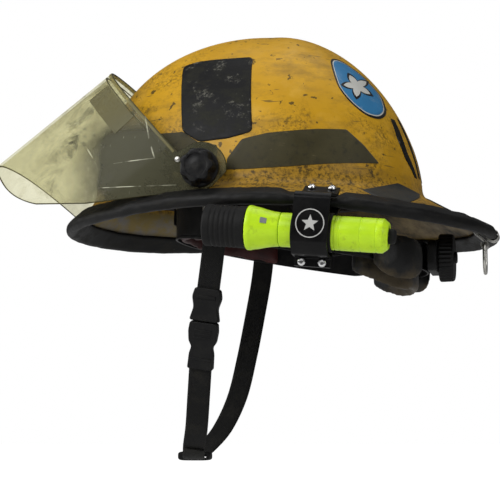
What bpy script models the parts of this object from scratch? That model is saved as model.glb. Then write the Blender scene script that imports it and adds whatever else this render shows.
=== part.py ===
"""Brimmed firefighter helmet with a flip-up faceshield, a clamped helmet light,
a ratchet headband suspension, a webbing chin strap and a rear hanging ring.

Units are metres.  The front of the helmet points along -X, the wearer's left side
along -Y, and +Z is up.  The origin is the centre of the head opening, level with
the front edge of the brim.
"""
from math import acos, atan2, cos, hypot, pi, radians, sin, sqrt

import bmesh
import bpy
from mathutils import Vector

MM = 0.001
GAP = 0.35 * MM                  # running gap between touching pieces

# Shell: dome
DOME_CENTRE_X = -10.7 * MM
DOME_FRONT = 160.3 * MM          # half length towards the front
DOME_REAR = 127.0 * MM           # half length towards the rear
DOME_HALF_WIDTH = 113.0 * MM
DOME_BASE_Z = 30.0 * MM
DOME_HEIGHT = 147.4 * MM
DOME_PLAN_EXPONENT = 2.25
DOME_PROFILE_EXPONENT = 1.84     # sides and rear
DOME_FRONT_EXPONENT = 2.27       # fuller, steeper forehead
SHELL_THICKNESS = 3.0 * MM

# Shell: brim
BRIM_CENTRE_X = -5.0 * MM
BRIM_FRONT_X = -193.2 * MM
BRIM_REAR_X = 176.0 * MM
BRIM_HALF_WIDTH = 146.0 * MM
BRIM_EXPONENT = 2.11
BRIM_FRONT_Z = 6.6 * MM
BRIM_REAR_Z = -3.0 * MM
BRIM_ARCH = 10.4 * MM            # how far the sides rise above the line front to rear
FILLET = 10.0 * MM
AROUND = 48                      # stations around the shell and the trim

# Rubber edge trim, as a channel pushed over the brim
TRIM_DEPTH = 11.0 * MM
TRIM_OVERHANG = 5.0 * MM
TRIM_WALL = 1.8 * MM

# Faceshield
PIVOT_X = -48.8 * MM
PIVOT_Z = 39.8 * MM
SHIELD_RAISE = radians(45.8)     # rise of its top edge above level, as stored
SHIELD_HALF_WIDTH = 126.5 * MM
SHIELD_REACH = 154.3 * MM        # pivot axis to the front of the top edge
SHIELD_FLARE = 0.136             # extra reach per unit of drop
SHIELD_DROP = 127.0 * MM
SHIELD_THICKNESS = 2.0 * MM
SHIELD_TAB_RADIUS = 21.5 * MM
SHIELD_TAB_LOW_RADIUS = 17.7 * MM
SHIELD_EDGE_SLOPE = 1.185        # drop per unit of reach along the wing's lower edge
SHIELD_STRAIGHT = 10.0 * MM      # reach over which the wings stay parallel
SHIELD_EXPONENT = 2.2
BOLT_RADIUS = 3.0 * MM
KNOB_DEPTH = 15.0 * MM
KNOB_RADIUS = 15.8 * MM

# Helmet light, held beside and below the left edge of the brim
LIGHT_FRONT = Vector((-36.3, -160.0, -11.25)) * MM
LIGHT_SLOPE = radians(5.3)       # the light points slightly upwards
LIGHT_LENGTH = 143.5 * MM
LIGHT_RADIUS = 13.2 * MM
BEZEL_RADIUS = 16.3 * MM
BEZEL_LENGTH = 31.0 * MM
HEAD_RADIUS = 17.4 * MM
HEAD_END = 60.0 * MM
CELL_RADIUS = 7.25 * MM
CELL_LENGTH = 50.5 * MM
BRACKET_START = 71.5 * MM        # along the light, from its front
BRACKET_WIDTH = 28.0 * MM
BRACKET_THICKNESS = 2.4 * MM
EAR_FACE = 6.2 * MM
SLEEVE_RADIUS = 15.3 * MM

# Headband
BAND_CENTRE_X = 6.0 * MM
BAND_HALF_LENGTH = 104.0 * MM
BAND_HALF_WIDTH = 80.0 * MM
BAND_EXPONENT = 2.25
BAND_FRONT_Z = 12.0 * MM
BAND_REAR_Z = -24.0 * MM
BAND_HEIGHT = 30.0 * MM
BAND_THICKNESS = 1.8 * MM
NAPE_PAD_LOW = -32.0 * MM
NAPE_REACH = 108.4 * MM          # band centre to the inside of the nape strap
KNOB_X = 130.5 * MM
CROWN_REAR_REACH = 82.0 * MM
CROWN_REAR_Z = 38.0 * MM
RATCHET_Z = -22.5 * MM
RATCHET_RADIUS = 20.5 * MM

# Chin strap
WEBBING_WIDTH = 19.0 * MM
WEBBING_THICKNESS = 1.7 * MM
STRAP_PIVOT = Vector((-43.0, 97.5, -4.0)) * MM

# Hanging ring
RING_AXIS_X = 169.0 * MM
RING_AXIS_Z = -12.3 * MM
RING_WIRE = 1.5 * MM
RING_HALF_WIDTH = 11.0 * MM
RING_HEIGHT = 24.0 * MM


# ---------------------------------------------------------------- helpers

def clear_scene():
    for item in list(bpy.data.objects):
        bpy.data.objects.remove(item, do_unlink=True)


def material(name, colour, roughness, metallic=0.0, transmission=0.0):
    made = bpy.data.materials.new(name)
    made.use_nodes = True
    shader = made.node_tree.nodes["Principled BSDF"]
    shader.inputs["Base Color"].default_value = (*colour, 1.0)
    shader.inputs["Roughness"].default_value = roughness
    shader.inputs["Metallic"].default_value = metallic
    shader.inputs["Transmission Weight"].default_value = transmission
    made.diffuse_color = (*colour, 1.0)
    return made


def frame_empty(name, location, tilt=0.0):
    """An empty on a joint axis, optionally turned about Y."""
    empty = bpy.data.objects.new(name, None)
    empty.location = location
    empty.rotation_euler = (0.0, tilt, 0.0)
    bpy.context.scene.collection.objects.link(empty)
    return empty


def add_solid(name, points, faces, finish, frame=None, local=False, smooth=True):
    """Make one closed object.  Points are in world axes unless local is set."""
    shift = Vector((0, 0, 0))
    if frame is not None and not local:
        shift = frame.location
    mesh = bpy.data.meshes.new(name)
    mesh.from_pydata([tuple(Vector(p) - shift) for p in points], [], faces)
    work = bmesh.new()
    work.from_mesh(mesh)
    bmesh.ops.remove_doubles(work, verts=work.verts, dist=1e-7)
    bmesh.ops.recalc_face_normals(work, faces=work.faces)
    work.to_mesh(mesh)
    work.free()
    mesh.materials.append(finish)
    if smooth:
        mesh.shade_smooth()
        mesh.set_sharp_from_angle(angle=radians(35))
    made = bpy.data.objects.new(name, mesh)
    bpy.context.scene.collection.objects.link(made)
    if frame is not None:
        made.parent = frame
    return made


def skin_rings(rings, closed=True, cap_start=True, cap_end=True):
    """Join rings of points into faces.  A ring of one point is a pole."""
    points = []
    starts = []
    for ring in rings:
        starts.append(len(points))
        points.extend(ring)
    faces = []
    for k in range(len(rings) - 1):
        first, second = rings[k], rings[k + 1]
        a, b = starts[k], starts[k + 1]
        count = max(len(first), len(second))
        for j in range(count if closed else count - 1):
            n = (j + 1) % count
            if len(first) == 1:
                faces.append((a, b + n, b + j))
            elif len(second) == 1:
                faces.append((a + j, a + n, b))
            else:
                faces.append((a + j, a + n, b + n, b + j))
    if cap_start and len(rings[0]) > 1:
        faces.append(tuple(reversed(range(starts[0], starts[0] + len(rings[0])))))
    if cap_end and len(rings[-1]) > 1:
        faces.append(tuple(range(starts[-1], starts[-1] + len(rings[-1]))))
    return points, faces


def skin_loop(sections):
    """Join closed sections that follow each other around a closed loop."""
    count = len(sections[0])
    total = len(sections)
    points = [p for section in sections for p in section]
    faces = []
    for k in range(total):
        a, b = k * count, ((k + 1) % total) * count
        for j in range(count):
            n = (j + 1) % count
            faces.append((a + j, a + n, b + n, b + j))
    return points, faces


def turned(profile, segments, place):
    """Solid of revolution.  Profile pairs are (along, radius); place maps to space."""
    rings = []
    for along, radius in profile:
        if radius == 0.0:
            rings.append([place(along, 0.0, 0.0)])
        else:
            ring = []
            for k in range(segments):
                angle = 2 * pi * k / segments
                ring.append(place(along, radius * cos(angle), radius * sin(angle)))
            rings.append(ring)
    return rings


def turned_loop(profile, segments, place):
    """Ring-shaped solid: the profile is a closed outline that misses the axis."""
    sections = []
    for k in range(segments):
        angle = 2 * pi * k / segments
        sections.append([place(along, r * cos(angle), r * sin(angle)) for along, r in profile])
    return skin_loop(sections)


def prism(outline, place, start, end):
    """Extrude a closed outline of (u, v) pairs between two distances."""
    rings = [[place(u, v, d) for u, v in outline] for d in (start, end)]
    return skin_rings(rings)


def strip_outline(path, thickness):
    """Closed outline of a thin strip that follows an open path of (u, v) pairs."""
    left, right = [], []
    for k, (u, v) in enumerate(path):
        before = path[max(k - 1, 0)]
        after = path[min(k + 1, len(path) - 1)]
        if 0 < k < len(path) - 1:
            d1 = Vector((u - before[0], v - before[1])).normalized()
            d2 = Vector((after[0] - u, after[1] - v)).normalized()
            bisector = (d1 + d2).normalized()
            reach = thickness / 2 / max(bisector.dot(d1), 0.4)
        else:
            bisector = Vector((after[0] - before[0], after[1] - before[1])).normalized()
            reach = thickness / 2
        side = Vector((-bisector.y, bisector.x)) * reach
        left.append((u + side.x, v + side.y))
        right.append((u - side.x, v - side.y))
    return left + right[::-1]


def smooth_path(points, count):
    """Catmull-Rom curve through a few points, as count + 1 samples."""
    points = [Vector(p) for p in points]
    ends = [points[0] * 2 - points[1]] + points + [points[-1] * 2 - points[-2]]
    spans = len(points) - 1
    samples = []
    for k in range(count + 1):
        along = spans * k / count
        i = min(int(along), spans - 1)
        t = along - i
        a, b, c, d = ends[i:i + 4]
        samples.append(0.5 * (2 * b + (c - a) * t + (2 * a - 5 * b + 4 * c - d) * t ** 2
                              + (3 * b - a - 3 * c + d) * t ** 3))
    return samples


def cut(target, name, points, faces):
    """Subtract a solid from an object with an exact boolean, applied at once."""
    cutter = add_solid(name, points, faces, target.data.materials[0], target.parent, smooth=False)
    cutter.hide_render = True
    cutter.display_type = 'WIRE'
    modifier = target.modifiers.new(name, 'BOOLEAN')
    modifier.operation = 'DIFFERENCE'
    modifier.solver = 'EXACT'
    modifier.object = cutter


# ---------------------------------------------------------------- shell surface

def superellipse(angle, front, rear, half_width, exponent):
    """Plan point whose half length differs in front (-X) and behind."""
    c, s = cos(angle), sin(angle)
    reach = front if c < 0 else rear
    scale = (abs(c / reach) ** exponent + abs(s / half_width) ** exponent) ** (-1 / exponent)
    return scale * c, scale * s


def profile_exponent(angle):
    forward = cos(angle) ** 2 if cos(angle) < 0 else 0.0
    return DOME_FRONT_EXPONENT * forward + DOME_PROFILE_EXPONENT * (1 - forward)


def dome_point(angle, rise, inset=0.0):
    """Point on the dome; rise runs from 0 at the crown to pi/2 at the base."""
    x, y = superellipse(angle, DOME_FRONT - inset, DOME_REAR - inset,
                        DOME_HALF_WIDTH - inset, DOME_PLAN_EXPONENT)
    m = profile_exponent(angle)
    out = sin(rise) ** (2 / m)
    up = max(cos(rise), 0.0) ** (2 / m)
    return Vector((DOME_CENTRE_X + x * out, y * out, DOME_BASE_Z + (DOME_HEIGHT - inset) * up))


def brim_edge(angle):
    """Top of the brim's edge, where the trim's middle sits."""
    x, y = superellipse(angle, BRIM_CENTRE_X - BRIM_FRONT_X, BRIM_REAR_X - BRIM_CENTRE_X,
                        BRIM_HALF_WIDTH, BRIM_EXPONENT)
    x += BRIM_CENTRE_X
    t = (x - BRIM_FRONT_X) / (BRIM_REAR_X - BRIM_FRONT_X)
    t = min(max(t, 0.0), 1.0)
    z = BRIM_FRONT_Z + (BRIM_REAR_Z - BRIM_FRONT_Z) * t + BRIM_ARCH * sin(pi * t) ** 1.5
    return Vector((x, y, z))


def brim_axes(angle):
    """Outward slope direction and upward normal of the brim at its edge."""
    slope = (brim_edge(angle) - dome_point(angle, pi / 2)).normalized()
    step = 1e-3
    tangent = (brim_edge(angle + step) - brim_edge(angle - step)).normalized()
    normal = slope.cross(tangent).normalized()
    if normal.z < 0:
        normal = -normal
    return slope, normal


def brim_offset(angle, outward, upward):
    slope, normal = brim_axes(angle)
    return brim_edge(angle) + slope * outward + normal * upward


def shell_profile(angle, rings=7):
    """Outer profile from just below the crown to the brim's edge."""
    last = acos((FILLET / DOME_HEIGHT) ** (profile_exponent(angle) / 2))
    points = [dome_point(angle, last * (k / rings) ** 0.9) for k in range(1, rings + 1)]
    base = dome_point(angle, pi / 2)
    slope, _ = brim_axes(angle)
    upper, lower = points[-1], base + slope * FILLET
    for t in (0.34, 0.67, 1.0):
        points.append(upper * (1 - t) ** 2 + base * (2 * t * (1 - t)) + lower * t ** 2)
    edge = brim_edge(angle) + slope * (1.0 * MM)
    points.append(lower.lerp(edge, 0.5))
    points.append(edge)
    return points


def stations():
    return [2 * pi * (k + 0.5) / AROUND for k in range(AROUND)]


def inset_rings(rings, crown, depth):
    """Offset a grid of rings inwards along its own normals."""
    inner = []
    count = len(rings[0])
    for i, ring in enumerate(rings):
        above = rings[i - 1] if i > 0 else [crown] * count
        below = rings[min(i + 1, len(rings) - 1)]
        made = []
        for j in range(count):
            across = ring[(j + 1) % count] - ring[j - 1]
            down = below[j] - above[j]
            normal = across.cross(down).normalized()
            outward = ring[j] - Vector((DOME_CENTRE_X, 0, -0.2))
            if normal.dot(outward) < 0:
                normal = -normal
            made.append(ring[j] - normal * depth)
        inner.append(made)
    return inner


def surface_at(x, z, side):
    """Point and outward normal of the dome at a given x and z on one side."""
    low, high = 0.0, 0.13
    dx = x - DOME_CENTRE_X
    for _ in range(50):
        y = (low + high) / 2
        angle = atan2(y, dx)
        reach = DOME_FRONT if dx < 0 else DOME_REAR
        n = DOME_PLAN_EXPONENT
        out = (abs(dx / reach) ** n + (y / DOME_HALF_WIDTH) ** n) ** (1 / n)
        m = profile_exponent(angle)
        up = max(z - DOME_BASE_Z, 0.0) / DOME_HEIGHT
        if out ** m + up ** m < 1:
            low = y
        else:
            high = y
    return Vector((x, side * low, z))


def surface_normal(x, z, side):
    step = 1.5 * MM
    across = surface_at(x + step, z, side) - surface_at(x - step, z, side)
    upward = surface_at(x, z + step, side) - surface_at(x, z - step, side)
    normal = across.cross(upward).normalized()
    return normal if normal.y * side > 0 else -normal


# ---------------------------------------------------------------- shell pieces

def make_shell(finish):
    columns = [shell_profile(angle) for angle in stations()]
    rings = [[column[i] for column in columns] for i in range(len(columns[0]))]
    crown = Vector((DOME_CENTRE_X, 0, DOME_BASE_Z + DOME_HEIGHT))
    inner = inset_rings(rings, crown, SHELL_THICKNESS)
    under = Vector((DOME_CENTRE_X, 0, crown.z - SHELL_THICKNESS))
    points, faces = skin_rings([[crown]] + rings + inner[::-1] + [[under]])
    shell = add_solid("shell", points, faces, finish)
    drill = turned([(-0.16, BOLT_RADIUS + GAP), (0.16, BOLT_RADIUS + GAP)], 16,
                   lambda a, u, v: Vector((PIVOT_X + u, a, PIVOT_Z + v)))
    cut(shell, "pivot_drill", *skin_rings(drill))


def make_trim(finish):
    top, bottom = GAP, -SHELL_THICKNESS - GAP
    inner_end = 1.0 * MM + GAP
    back = -TRIM_DEPTH
    outline = [
        (back, top), (back, top + TRIM_WALL * 0.8), (back + 1 * MM, top + TRIM_WALL),
        (TRIM_OVERHANG * 0.5, top + TRIM_WALL), (TRIM_OVERHANG, -0.4 * MM),
        (TRIM_OVERHANG, bottom + 0.4 * MM), (TRIM_OVERHANG * 0.5, bottom - TRIM_WALL),
        (back + 1 * MM, bottom - TRIM_WALL), (back, bottom - TRIM_WALL * 0.8), (back, bottom),
        (inner_end, bottom), (inner_end, top),
    ]
    sections = [[brim_offset(angle, s, n) for s, n in outline] for angle in stations()]
    points, faces = skin_loop(sections)
    add_solid("edge_trim", points, faces, finish)


def make_trim_clip(finish):
    """Metal crimp over the butt joint of the trim at the rear."""
    high = GAP + TRIM_WALL + GAP
    low = -SHELL_THICKNESS - high
    wall = 0.9 * MM
    tip = TRIM_OVERHANG + GAP
    back = -3.0 * MM
    outline = [
        (back, high), (back, high + wall), (tip * 0.6, high + wall), (tip + wall, 0.2 * MM),
        (tip + wall, low + high), (tip * 0.6, low - wall), (back, low - wall), (back, low),
        (tip * 0.6, low), (tip, low + high - 0.2 * MM), (tip, -0.2 * MM), (tip * 0.6, high),
    ]
    rings = []
    for offset in (-0.042, -0.014, 0.014, 0.042):
        rings.append([brim_offset(offset, s, n) for s, n in outline])
    add_solid("trim_clip", *skin_rings(rings), finish)


def make_liner(finish):
    """Energy-absorbing foam bowl, held inside the shell with an air gap."""
    around = [2 * pi * (k + 0.5) / 32 for k in range(32)]
    outer_inset, inner_inset = 8.0 * MM, 20.0 * MM
    levels = [0.2, 0.42, 0.62, 0.82, 1.0]
    last = 0.97 * pi / 2
    outer = [[dome_point(a, last * t, outer_inset) for a in around] for t in levels]
    inner = [[dome_point(a, last * t, inner_inset) for a in around] for t in levels]
    top_outer = Vector((DOME_CENTRE_X, 0, DOME_BASE_Z + DOME_HEIGHT - outer_inset))
    top_inner = Vector((DOME_CENTRE_X, 0, DOME_BASE_Z + DOME_HEIGHT - inner_inset))
    points, faces = skin_rings([[top_outer]] + outer + inner[::-1] + [[top_inner]])
    add_solid("impact_liner", points, faces, finish)


# ---------------------------------------------------------------- decals

def make_decal(name, corners, side, finish, steps=(6, 6), centre=None):
    """Thin sheet stuck on the dome, spanned between four (x, z) corners in mm."""
    columns, rows = steps
    inner, outer = [], []
    for i in range(rows + 1):
        for j in range(columns + 1):
            s, t = j / columns, i / rows
            x = ((corners[0][0] * (1 - s) + corners[1][0] * s) * (1 - t)
                 + (corners[3][0] * (1 - s) + corners[2][0] * s) * t)
            z = ((corners[0][1] * (1 - s) + corners[1][1] * s) * (1 - t)
                 + (corners[3][1] * (1 - s) + corners[2][1] * s) * t)
            if centre is not None:
                x, z = rounded(x, z, s, t, centre)
            point = surface_at(x * MM, z * MM, side)
            normal = surface_normal(x * MM, z * MM, side)
            inner.append(point + normal * 0.6 * MM)
            outer.append(point + normal * 1.2 * MM)
    count = len(inner)
    faces = []
    wide = columns + 1
    for i in range(rows):
        for j in range(columns):
            a = i * wide + j
            faces.append((a, a + 1, a + wide + 1, a + wide))
            faces.append((count + a, count + a + wide, count + a + wide + 1, count + a + 1))
    rim = [j for j in range(columns)]
    rim += [i * wide + columns for i in range(rows)]
    rim += [rows * wide + j for j in range(columns, 0, -1)]
    rim += [i * wide for i in range(rows, 0, -1)]
    for k, a in enumerate(rim):
        b = rim[(k + 1) % len(rim)]
        faces.append((a, b, count + b, count + a))
    add_solid(name, inner + outer, faces, finish)


def rounded(x, z, s, t, centre):
    """Pull the corners of a square patch in, so that its outline is an oval."""
    u, v = 2 * s - 1, 2 * t - 1
    shrink = sqrt(max(1 - 0.5 * min(u * u, v * v), 0.0)) * 0.97
    return centre[0] + (x - centre[0]) * shrink, centre[1] + (z - centre[1]) * shrink


def make_decals(olive, black, blue):
    """Worn reflective bands and patches.  The right side mirrors the left."""
    bands = {
        "reflective_band": [(-29, 66), (64, 74), (88, 48), (-30, 42)],
        "front_band": [(-128, 76), (-33, 66), (-34, 52), (-134, 54)],
    }
    for side, tag in ((-1, "left"), (1, "right")):
        for name, corners in bands.items():
            steps = (12, 2)
            make_decal(name + "_" + tag, corners, side, olive, steps)
    make_decal("square_patch_left", [(-80, 141), (-19, 145), (-10, 76), (-68, 78)], -1, black, (7, 8))
    make_decal("oval_patch_left", [(44, 146), (72, 134), (94, 92), (66, 86)], -1, blue, (6, 7), (69, 113))


# ---------------------------------------------------------------- faceshield

def shield_place(reach, drop, y, raise_by=SHIELD_RAISE):
    """Shield coordinates to world: reach along the top edge, drop square to it."""
    x = PIVOT_X - reach * cos(raise_by) - drop * sin(raise_by)
    z = PIVOT_Z + reach * sin(raise_by) - drop * cos(raise_by)
    return Vector((x, y, z))


def shield_top(u):
    """Upper outline: a straight edge that runs into the round pivot tab."""
    line = 5.0 * MM * (1 - u / SHIELD_REACH)
    if abs(u) < SHIELD_TAB_RADIUS:
        return min(line, -sqrt(SHIELD_TAB_RADIUS ** 2 - u ** 2))
    return line


def shield_bottom(u):
    """Lower outline: tab, slanted edge, then a corner rounding into the level front."""
    start_u, end_u = 58.0 * MM, 118.0 * MM
    knee_u = 84.0 * MM
    start_p = SHIELD_TAB_LOW_RADIUS * hypot(1, SHIELD_EDGE_SLOPE) + start_u * SHIELD_EDGE_SLOPE
    if u >= end_u:
        return SHIELD_DROP
    if u > start_u:
        low, high = 0.0, 1.0
        for _ in range(40):
            t = (low + high) / 2
            here = start_u * (1 - t) ** 2 + knee_u * 2 * t * (1 - t) + end_u * t ** 2
            low, high = (t, high) if here < u else (low, t)
        return start_p * (1 - t) ** 2 + SHIELD_DROP * (2 * t * (1 - t) + t ** 2)
    touch = -SHIELD_TAB_LOW_RADIUS * SHIELD_EDGE_SLOPE / hypot(1, SHIELD_EDGE_SLOPE)
    if u > touch:
        return start_p + (u - start_u) * SHIELD_EDGE_SLOPE
    return sqrt(max(SHIELD_TAB_LOW_RADIUS ** 2 - u ** 2, (1.5 * MM) ** 2))


def make_faceshield(finish, frame):
    """Flared U-shaped sheet with a round tab at each end, drilled for its bolt."""
    stops = [-17.4, -14.0, -8.0, 0.0, 8.0, 19.0, 34.0, 50.0]
    columns = [(u * MM, None) for u in stops]
    columns += [(None, radians(b)) for b in (65, 57, 49, 41, 33, 25, 17, 9, 0)]
    sides = [(-1, column) for column in columns] + [(1, column) for column in columns[-2::-1]]
    rows = 5
    outer, inner = [], []
    for side, (length, bend) in sides:
        outer_column, inner_column = [], []
        for r in range(rows + 1):
            t = r / rows
            if length is not None:
                u = length
                p = shield_top(u) * (1 - t) + shield_bottom(u) * t
            else:
                forward = cos(bend) ** (2 / SHIELD_EXPONENT)
                top_u = SHIELD_STRAIGHT + (SHIELD_REACH - SHIELD_STRAIGHT) * forward
                p = shield_top(top_u) * (1 - t) + shield_bottom(top_u * 1.05) * t
                u = SHIELD_STRAIGHT + wing_reach(p) * forward
            y = wing_half_width(u, p)
            lean = wing_normal(u, p, y) * SHIELD_THICKNESS / 2
            outer_column.append(shield_place(u + lean.x, p, side * (y + lean.y)))
            inner_column.append(shield_place(u - lean.x, p, side * (y - lean.y)))
        outer.append(outer_column)
        inner.append(inner_column)
    sections = [o + i[::-1] for o, i in zip(outer, inner)]
    shield = add_solid("faceshield", *skin_rings(sections), finish, frame)
    drill = turned([(-0.16, BOLT_RADIUS + GAP), (0.16, BOLT_RADIUS + GAP)], 16,
                   lambda a, u, v: Vector((PIVOT_X + u, a, PIVOT_Z + v)))
    cut(shield, "shield_drill", *skin_rings(drill))


def wing_reach(p):
    return SHIELD_REACH - SHIELD_STRAIGHT + SHIELD_FLARE * p


def wing_half_width(u, p):
    """Half width of the sheet at a reach u and drop p."""
    if u <= SHIELD_STRAIGHT:
        return SHIELD_HALF_WIDTH
    along = min((u - SHIELD_STRAIGHT) / wing_reach(p), 1.0)
    return SHIELD_HALF_WIDTH * (1 - along ** SHIELD_EXPONENT) ** (1 / SHIELD_EXPONENT)


def wing_normal(u, p, y):
    """Outward direction of the sheet in plan, as (reach, sideways)."""
    if u <= SHIELD_STRAIGHT:
        return Vector((0, 1))
    n = SHIELD_EXPONENT - 1
    along = ((u - SHIELD_STRAIGHT) / wing_reach(p)) ** n / wing_reach(p)
    across = (y / SHIELD_HALF_WIDTH) ** n / SHIELD_HALF_WIDTH
    return Vector((along, across)).normalized()


def wall_outset(z):
    """Extra stand-off where the dome flares into the brim."""
    drop = max(DOME_BASE_Z + FILLET - z, 0.0)
    return 0.5 * MM + 10.0 * MM * (drop / (17.0 * MM)) ** 2


def make_pivots(plastic, steel, frames):
    """Spacer, bolt and scalloped knob on each side."""
    face = SHIELD_HALF_WIDTH - SHIELD_THICKNESS / 2 - GAP
    knob_start = SHIELD_HALF_WIDTH + SHIELD_THICKNESS / 2 + GAP
    for side, tag in ((-1, "left"), (1, "right")):
        spacer_ring_in, spacer_ring_out, hole_in, hole_out = [], [], [], []
        for k in range(20):
            angle = 2 * pi * k / 20
            for radius, inside, outside in ((7.5 * MM, spacer_ring_in, spacer_ring_out),
                                            (BOLT_RADIUS + GAP, hole_in, hole_out)):
                x, z = PIVOT_X + radius * cos(angle), PIVOT_Z + radius * sin(angle)
                inside.append(surface_at(x, z, side) + Vector((0, side * wall_outset(z), 0)))
                outside.append(Vector((x, side * face, z)))
        columns = [[a, b, c, d] for a, b, c, d in
                   zip(spacer_ring_in, spacer_ring_out, hole_out, hole_in)]
        points, faces = skin_loop(columns)
        add_solid("pivot_spacer_" + tag, points, faces, plastic)

        wall = abs(surface_at(PIVOT_X, PIVOT_Z, side).y) - SHELL_THICKNESS
        head_top = wall - 1.9 * MM
        end = knob_start + 9.0 * MM
        bolt = [(head_top - 1.8 * MM, 5.0 * MM), (head_top, 5.0 * MM),
                (head_top, BOLT_RADIUS), (end, BOLT_RADIUS)]
        rings = turned(bolt, 16, lambda a, u, v: Vector((PIVOT_X + u, side * a, PIVOT_Z + v)))
        add_solid("pivot_bolt_" + tag, *skin_rings(rings), steel)
        make_knob("shield_knob_" + tag, side, knob_start, plastic, frames[side])


def make_knob(name, side, start, finish, frame):
    lobes = 7
    segments = 42
    bore = BOLT_RADIUS + GAP
    stack = [(0.0, 1.0, 0.0), (3.0 * MM, 1.0, 0.0), (4.2 * MM, 0.93, 0.10),
             (13.0 * MM, 0.84, 0.10), (KNOB_DEPTH, 0.70, 0.06)]
    rings = []
    for depth, scale, scallop in stack:
        ring = []
        for k in range(segments):
            angle = 2 * pi * k / segments
            wave = 1 - scallop * (0.5 - 0.5 * cos(lobes * angle)) ** 2
            radius = KNOB_RADIUS * scale * wave
            ring.append(Vector((PIVOT_X + radius * cos(angle), side * (start + depth),
                                PIVOT_Z + radius * sin(angle))))
        rings.append(ring)
    for depth in (9.6 * MM, 0.0):
        ring = [Vector((PIVOT_X + bore * cos(2 * pi * k / segments), side * (start + depth),
                        PIVOT_Z + bore * sin(2 * pi * k / segments))) for k in range(segments)]
        rings.append(ring)
    hollow = rings[-2:]
    solid = rings[:-2]
    points, faces = skin_rings(solid, cap_start=False)
    base = len(points)
    points += hollow[1] + hollow[0]
    for j in range(segments):
        n = (j + 1) % segments
        faces.append((j, n, base + n, base + j))
        faces.append((base + j, base + n, base + segments + n, base + segments + j))
    faces.append(tuple(base + segments + j for j in range(segments)))
    add_solid(name, points, faces, finish, frame)


# ---------------------------------------------------------------- helmet light

def light_place(a, u, v):
    """Light axes: a back along the light, u towards the shell, v up."""
    return Vector((a, u, v))


def make_light(finishes, frames):
    lime, black, glass, mirror, board, cell, steel = finishes
    body, head = frames["body"], frames["head"]

    def solid(name, profile, finish, frame, segments=24):
        rings = turned(profile, segments, light_place)
        add_solid(name, *skin_rings(rings), finish, frame, local=True)

    def tube(name, profile, finish, frame, segments=24):
        points, faces = turned_loop(profile, segments, light_place)
        add_solid(name, points, faces, finish, frame, local=True)

    mm = MM
    tube("light_bezel", [(0, 14.9 * mm), (0.8 * mm, BEZEL_RADIUS), (BEZEL_LENGTH, BEZEL_RADIUS),
                         (BEZEL_LENGTH, 13.4 * mm), (3.9 * mm, 13.4 * mm), (0.9 * mm, 13.4 * mm)],
         black, head)
    solid("light_lens", [(1.4 * mm, 13.1 * mm), (3.4 * mm, 13.1 * mm)], glass, head, 24)
    tube("light_reflector", [(4.2 * mm, 13.0 * mm), (25.5 * mm, 7.6 * mm), (25.5 * mm, 3.4 * mm),
                             (22.0 * mm, 3.8 * mm), (4.2 * mm, 11.8 * mm)], mirror, head, 24)
    solid("led_board", [(23.0 * mm, 0.0), (23.0 * mm, 2.6 * mm), (26.2 * mm, 2.6 * mm),
                        (26.2 * mm, 12.6 * mm), (28.2 * mm, 12.6 * mm), (28.2 * mm, 0.0)],
          board, body, 20)
    tube("light_head", [(BEZEL_LENGTH + GAP, HEAD_RADIUS - 0.6 * mm),
                        (BEZEL_LENGTH + 1.4 * mm, HEAD_RADIUS), (38.0 * mm, HEAD_RADIUS - 0.3 * mm),
                        (46.0 * mm, 15.4 * mm), (52.0 * mm, 13.9 * mm), (HEAD_END, LIGHT_RADIUS),
                        (HEAD_END, 11.3 * mm), (33.0 * mm, 11.3 * mm),
                        (BEZEL_LENGTH + GAP, 12.4 * mm)],
         lime, body)
    tube("light_body", [(44.0 * mm, 10.9 * mm), (HEAD_END + GAP, 10.9 * mm),
                        (HEAD_END + GAP, LIGHT_RADIUS), (LIGHT_LENGTH - 4.0 * mm, LIGHT_RADIUS),
                        (LIGHT_LENGTH, 10.0 * mm), (LIGHT_LENGTH, 6.4 * mm),
                        (138.6 * mm, 6.4 * mm), (138.6 * mm, 8.3 * mm), (44.0 * mm, 8.3 * mm)],
         lime, body)
    start = 32.0 * mm
    for name in ("battery_front", "battery_rear"):
        end = start + CELL_LENGTH
        solid(name, [(start, 2.7 * mm), (start + 1.2 * mm, 2.7 * mm), (start + 1.2 * mm, CELL_RADIUS),
                     (end, CELL_RADIUS)], cell, body, 20)
        start = end + 0.4 * mm
    solid("tail_switch", [(138.9 * mm, 5.9 * mm), (147.4 * mm, 5.9 * mm), (149.0 * mm, 4.4 * mm)],
          black, frames["switch"], 24)
    make_contact_spring(steel, body, start + 0.2 * mm)


def make_contact_spring(finish, frame, start):
    """Conical wire spring behind the rear cell."""
    turns, per_turn, wire = 2.5, 10, 0.35 * MM
    rings = []
    total = int(turns * per_turn)
    for k in range(total + 1):
        t = k / total
        angle = 2 * pi * turns * t
        radius = (4.0 + 2.4 * t) * MM
        centre = Vector((start + wire + 2.2 * MM * t, radius * cos(angle), radius * sin(angle)))
        out = Vector((0, cos(angle), sin(angle)))
        rings.append([centre + out * wire * cos(2 * pi * j / 6)
                      + Vector((1, 0, 0)) * wire * sin(2 * pi * j / 6) for j in range(6)])
    add_solid("contact_spring", *skin_rings(rings), finish, frame, local=True)


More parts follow.
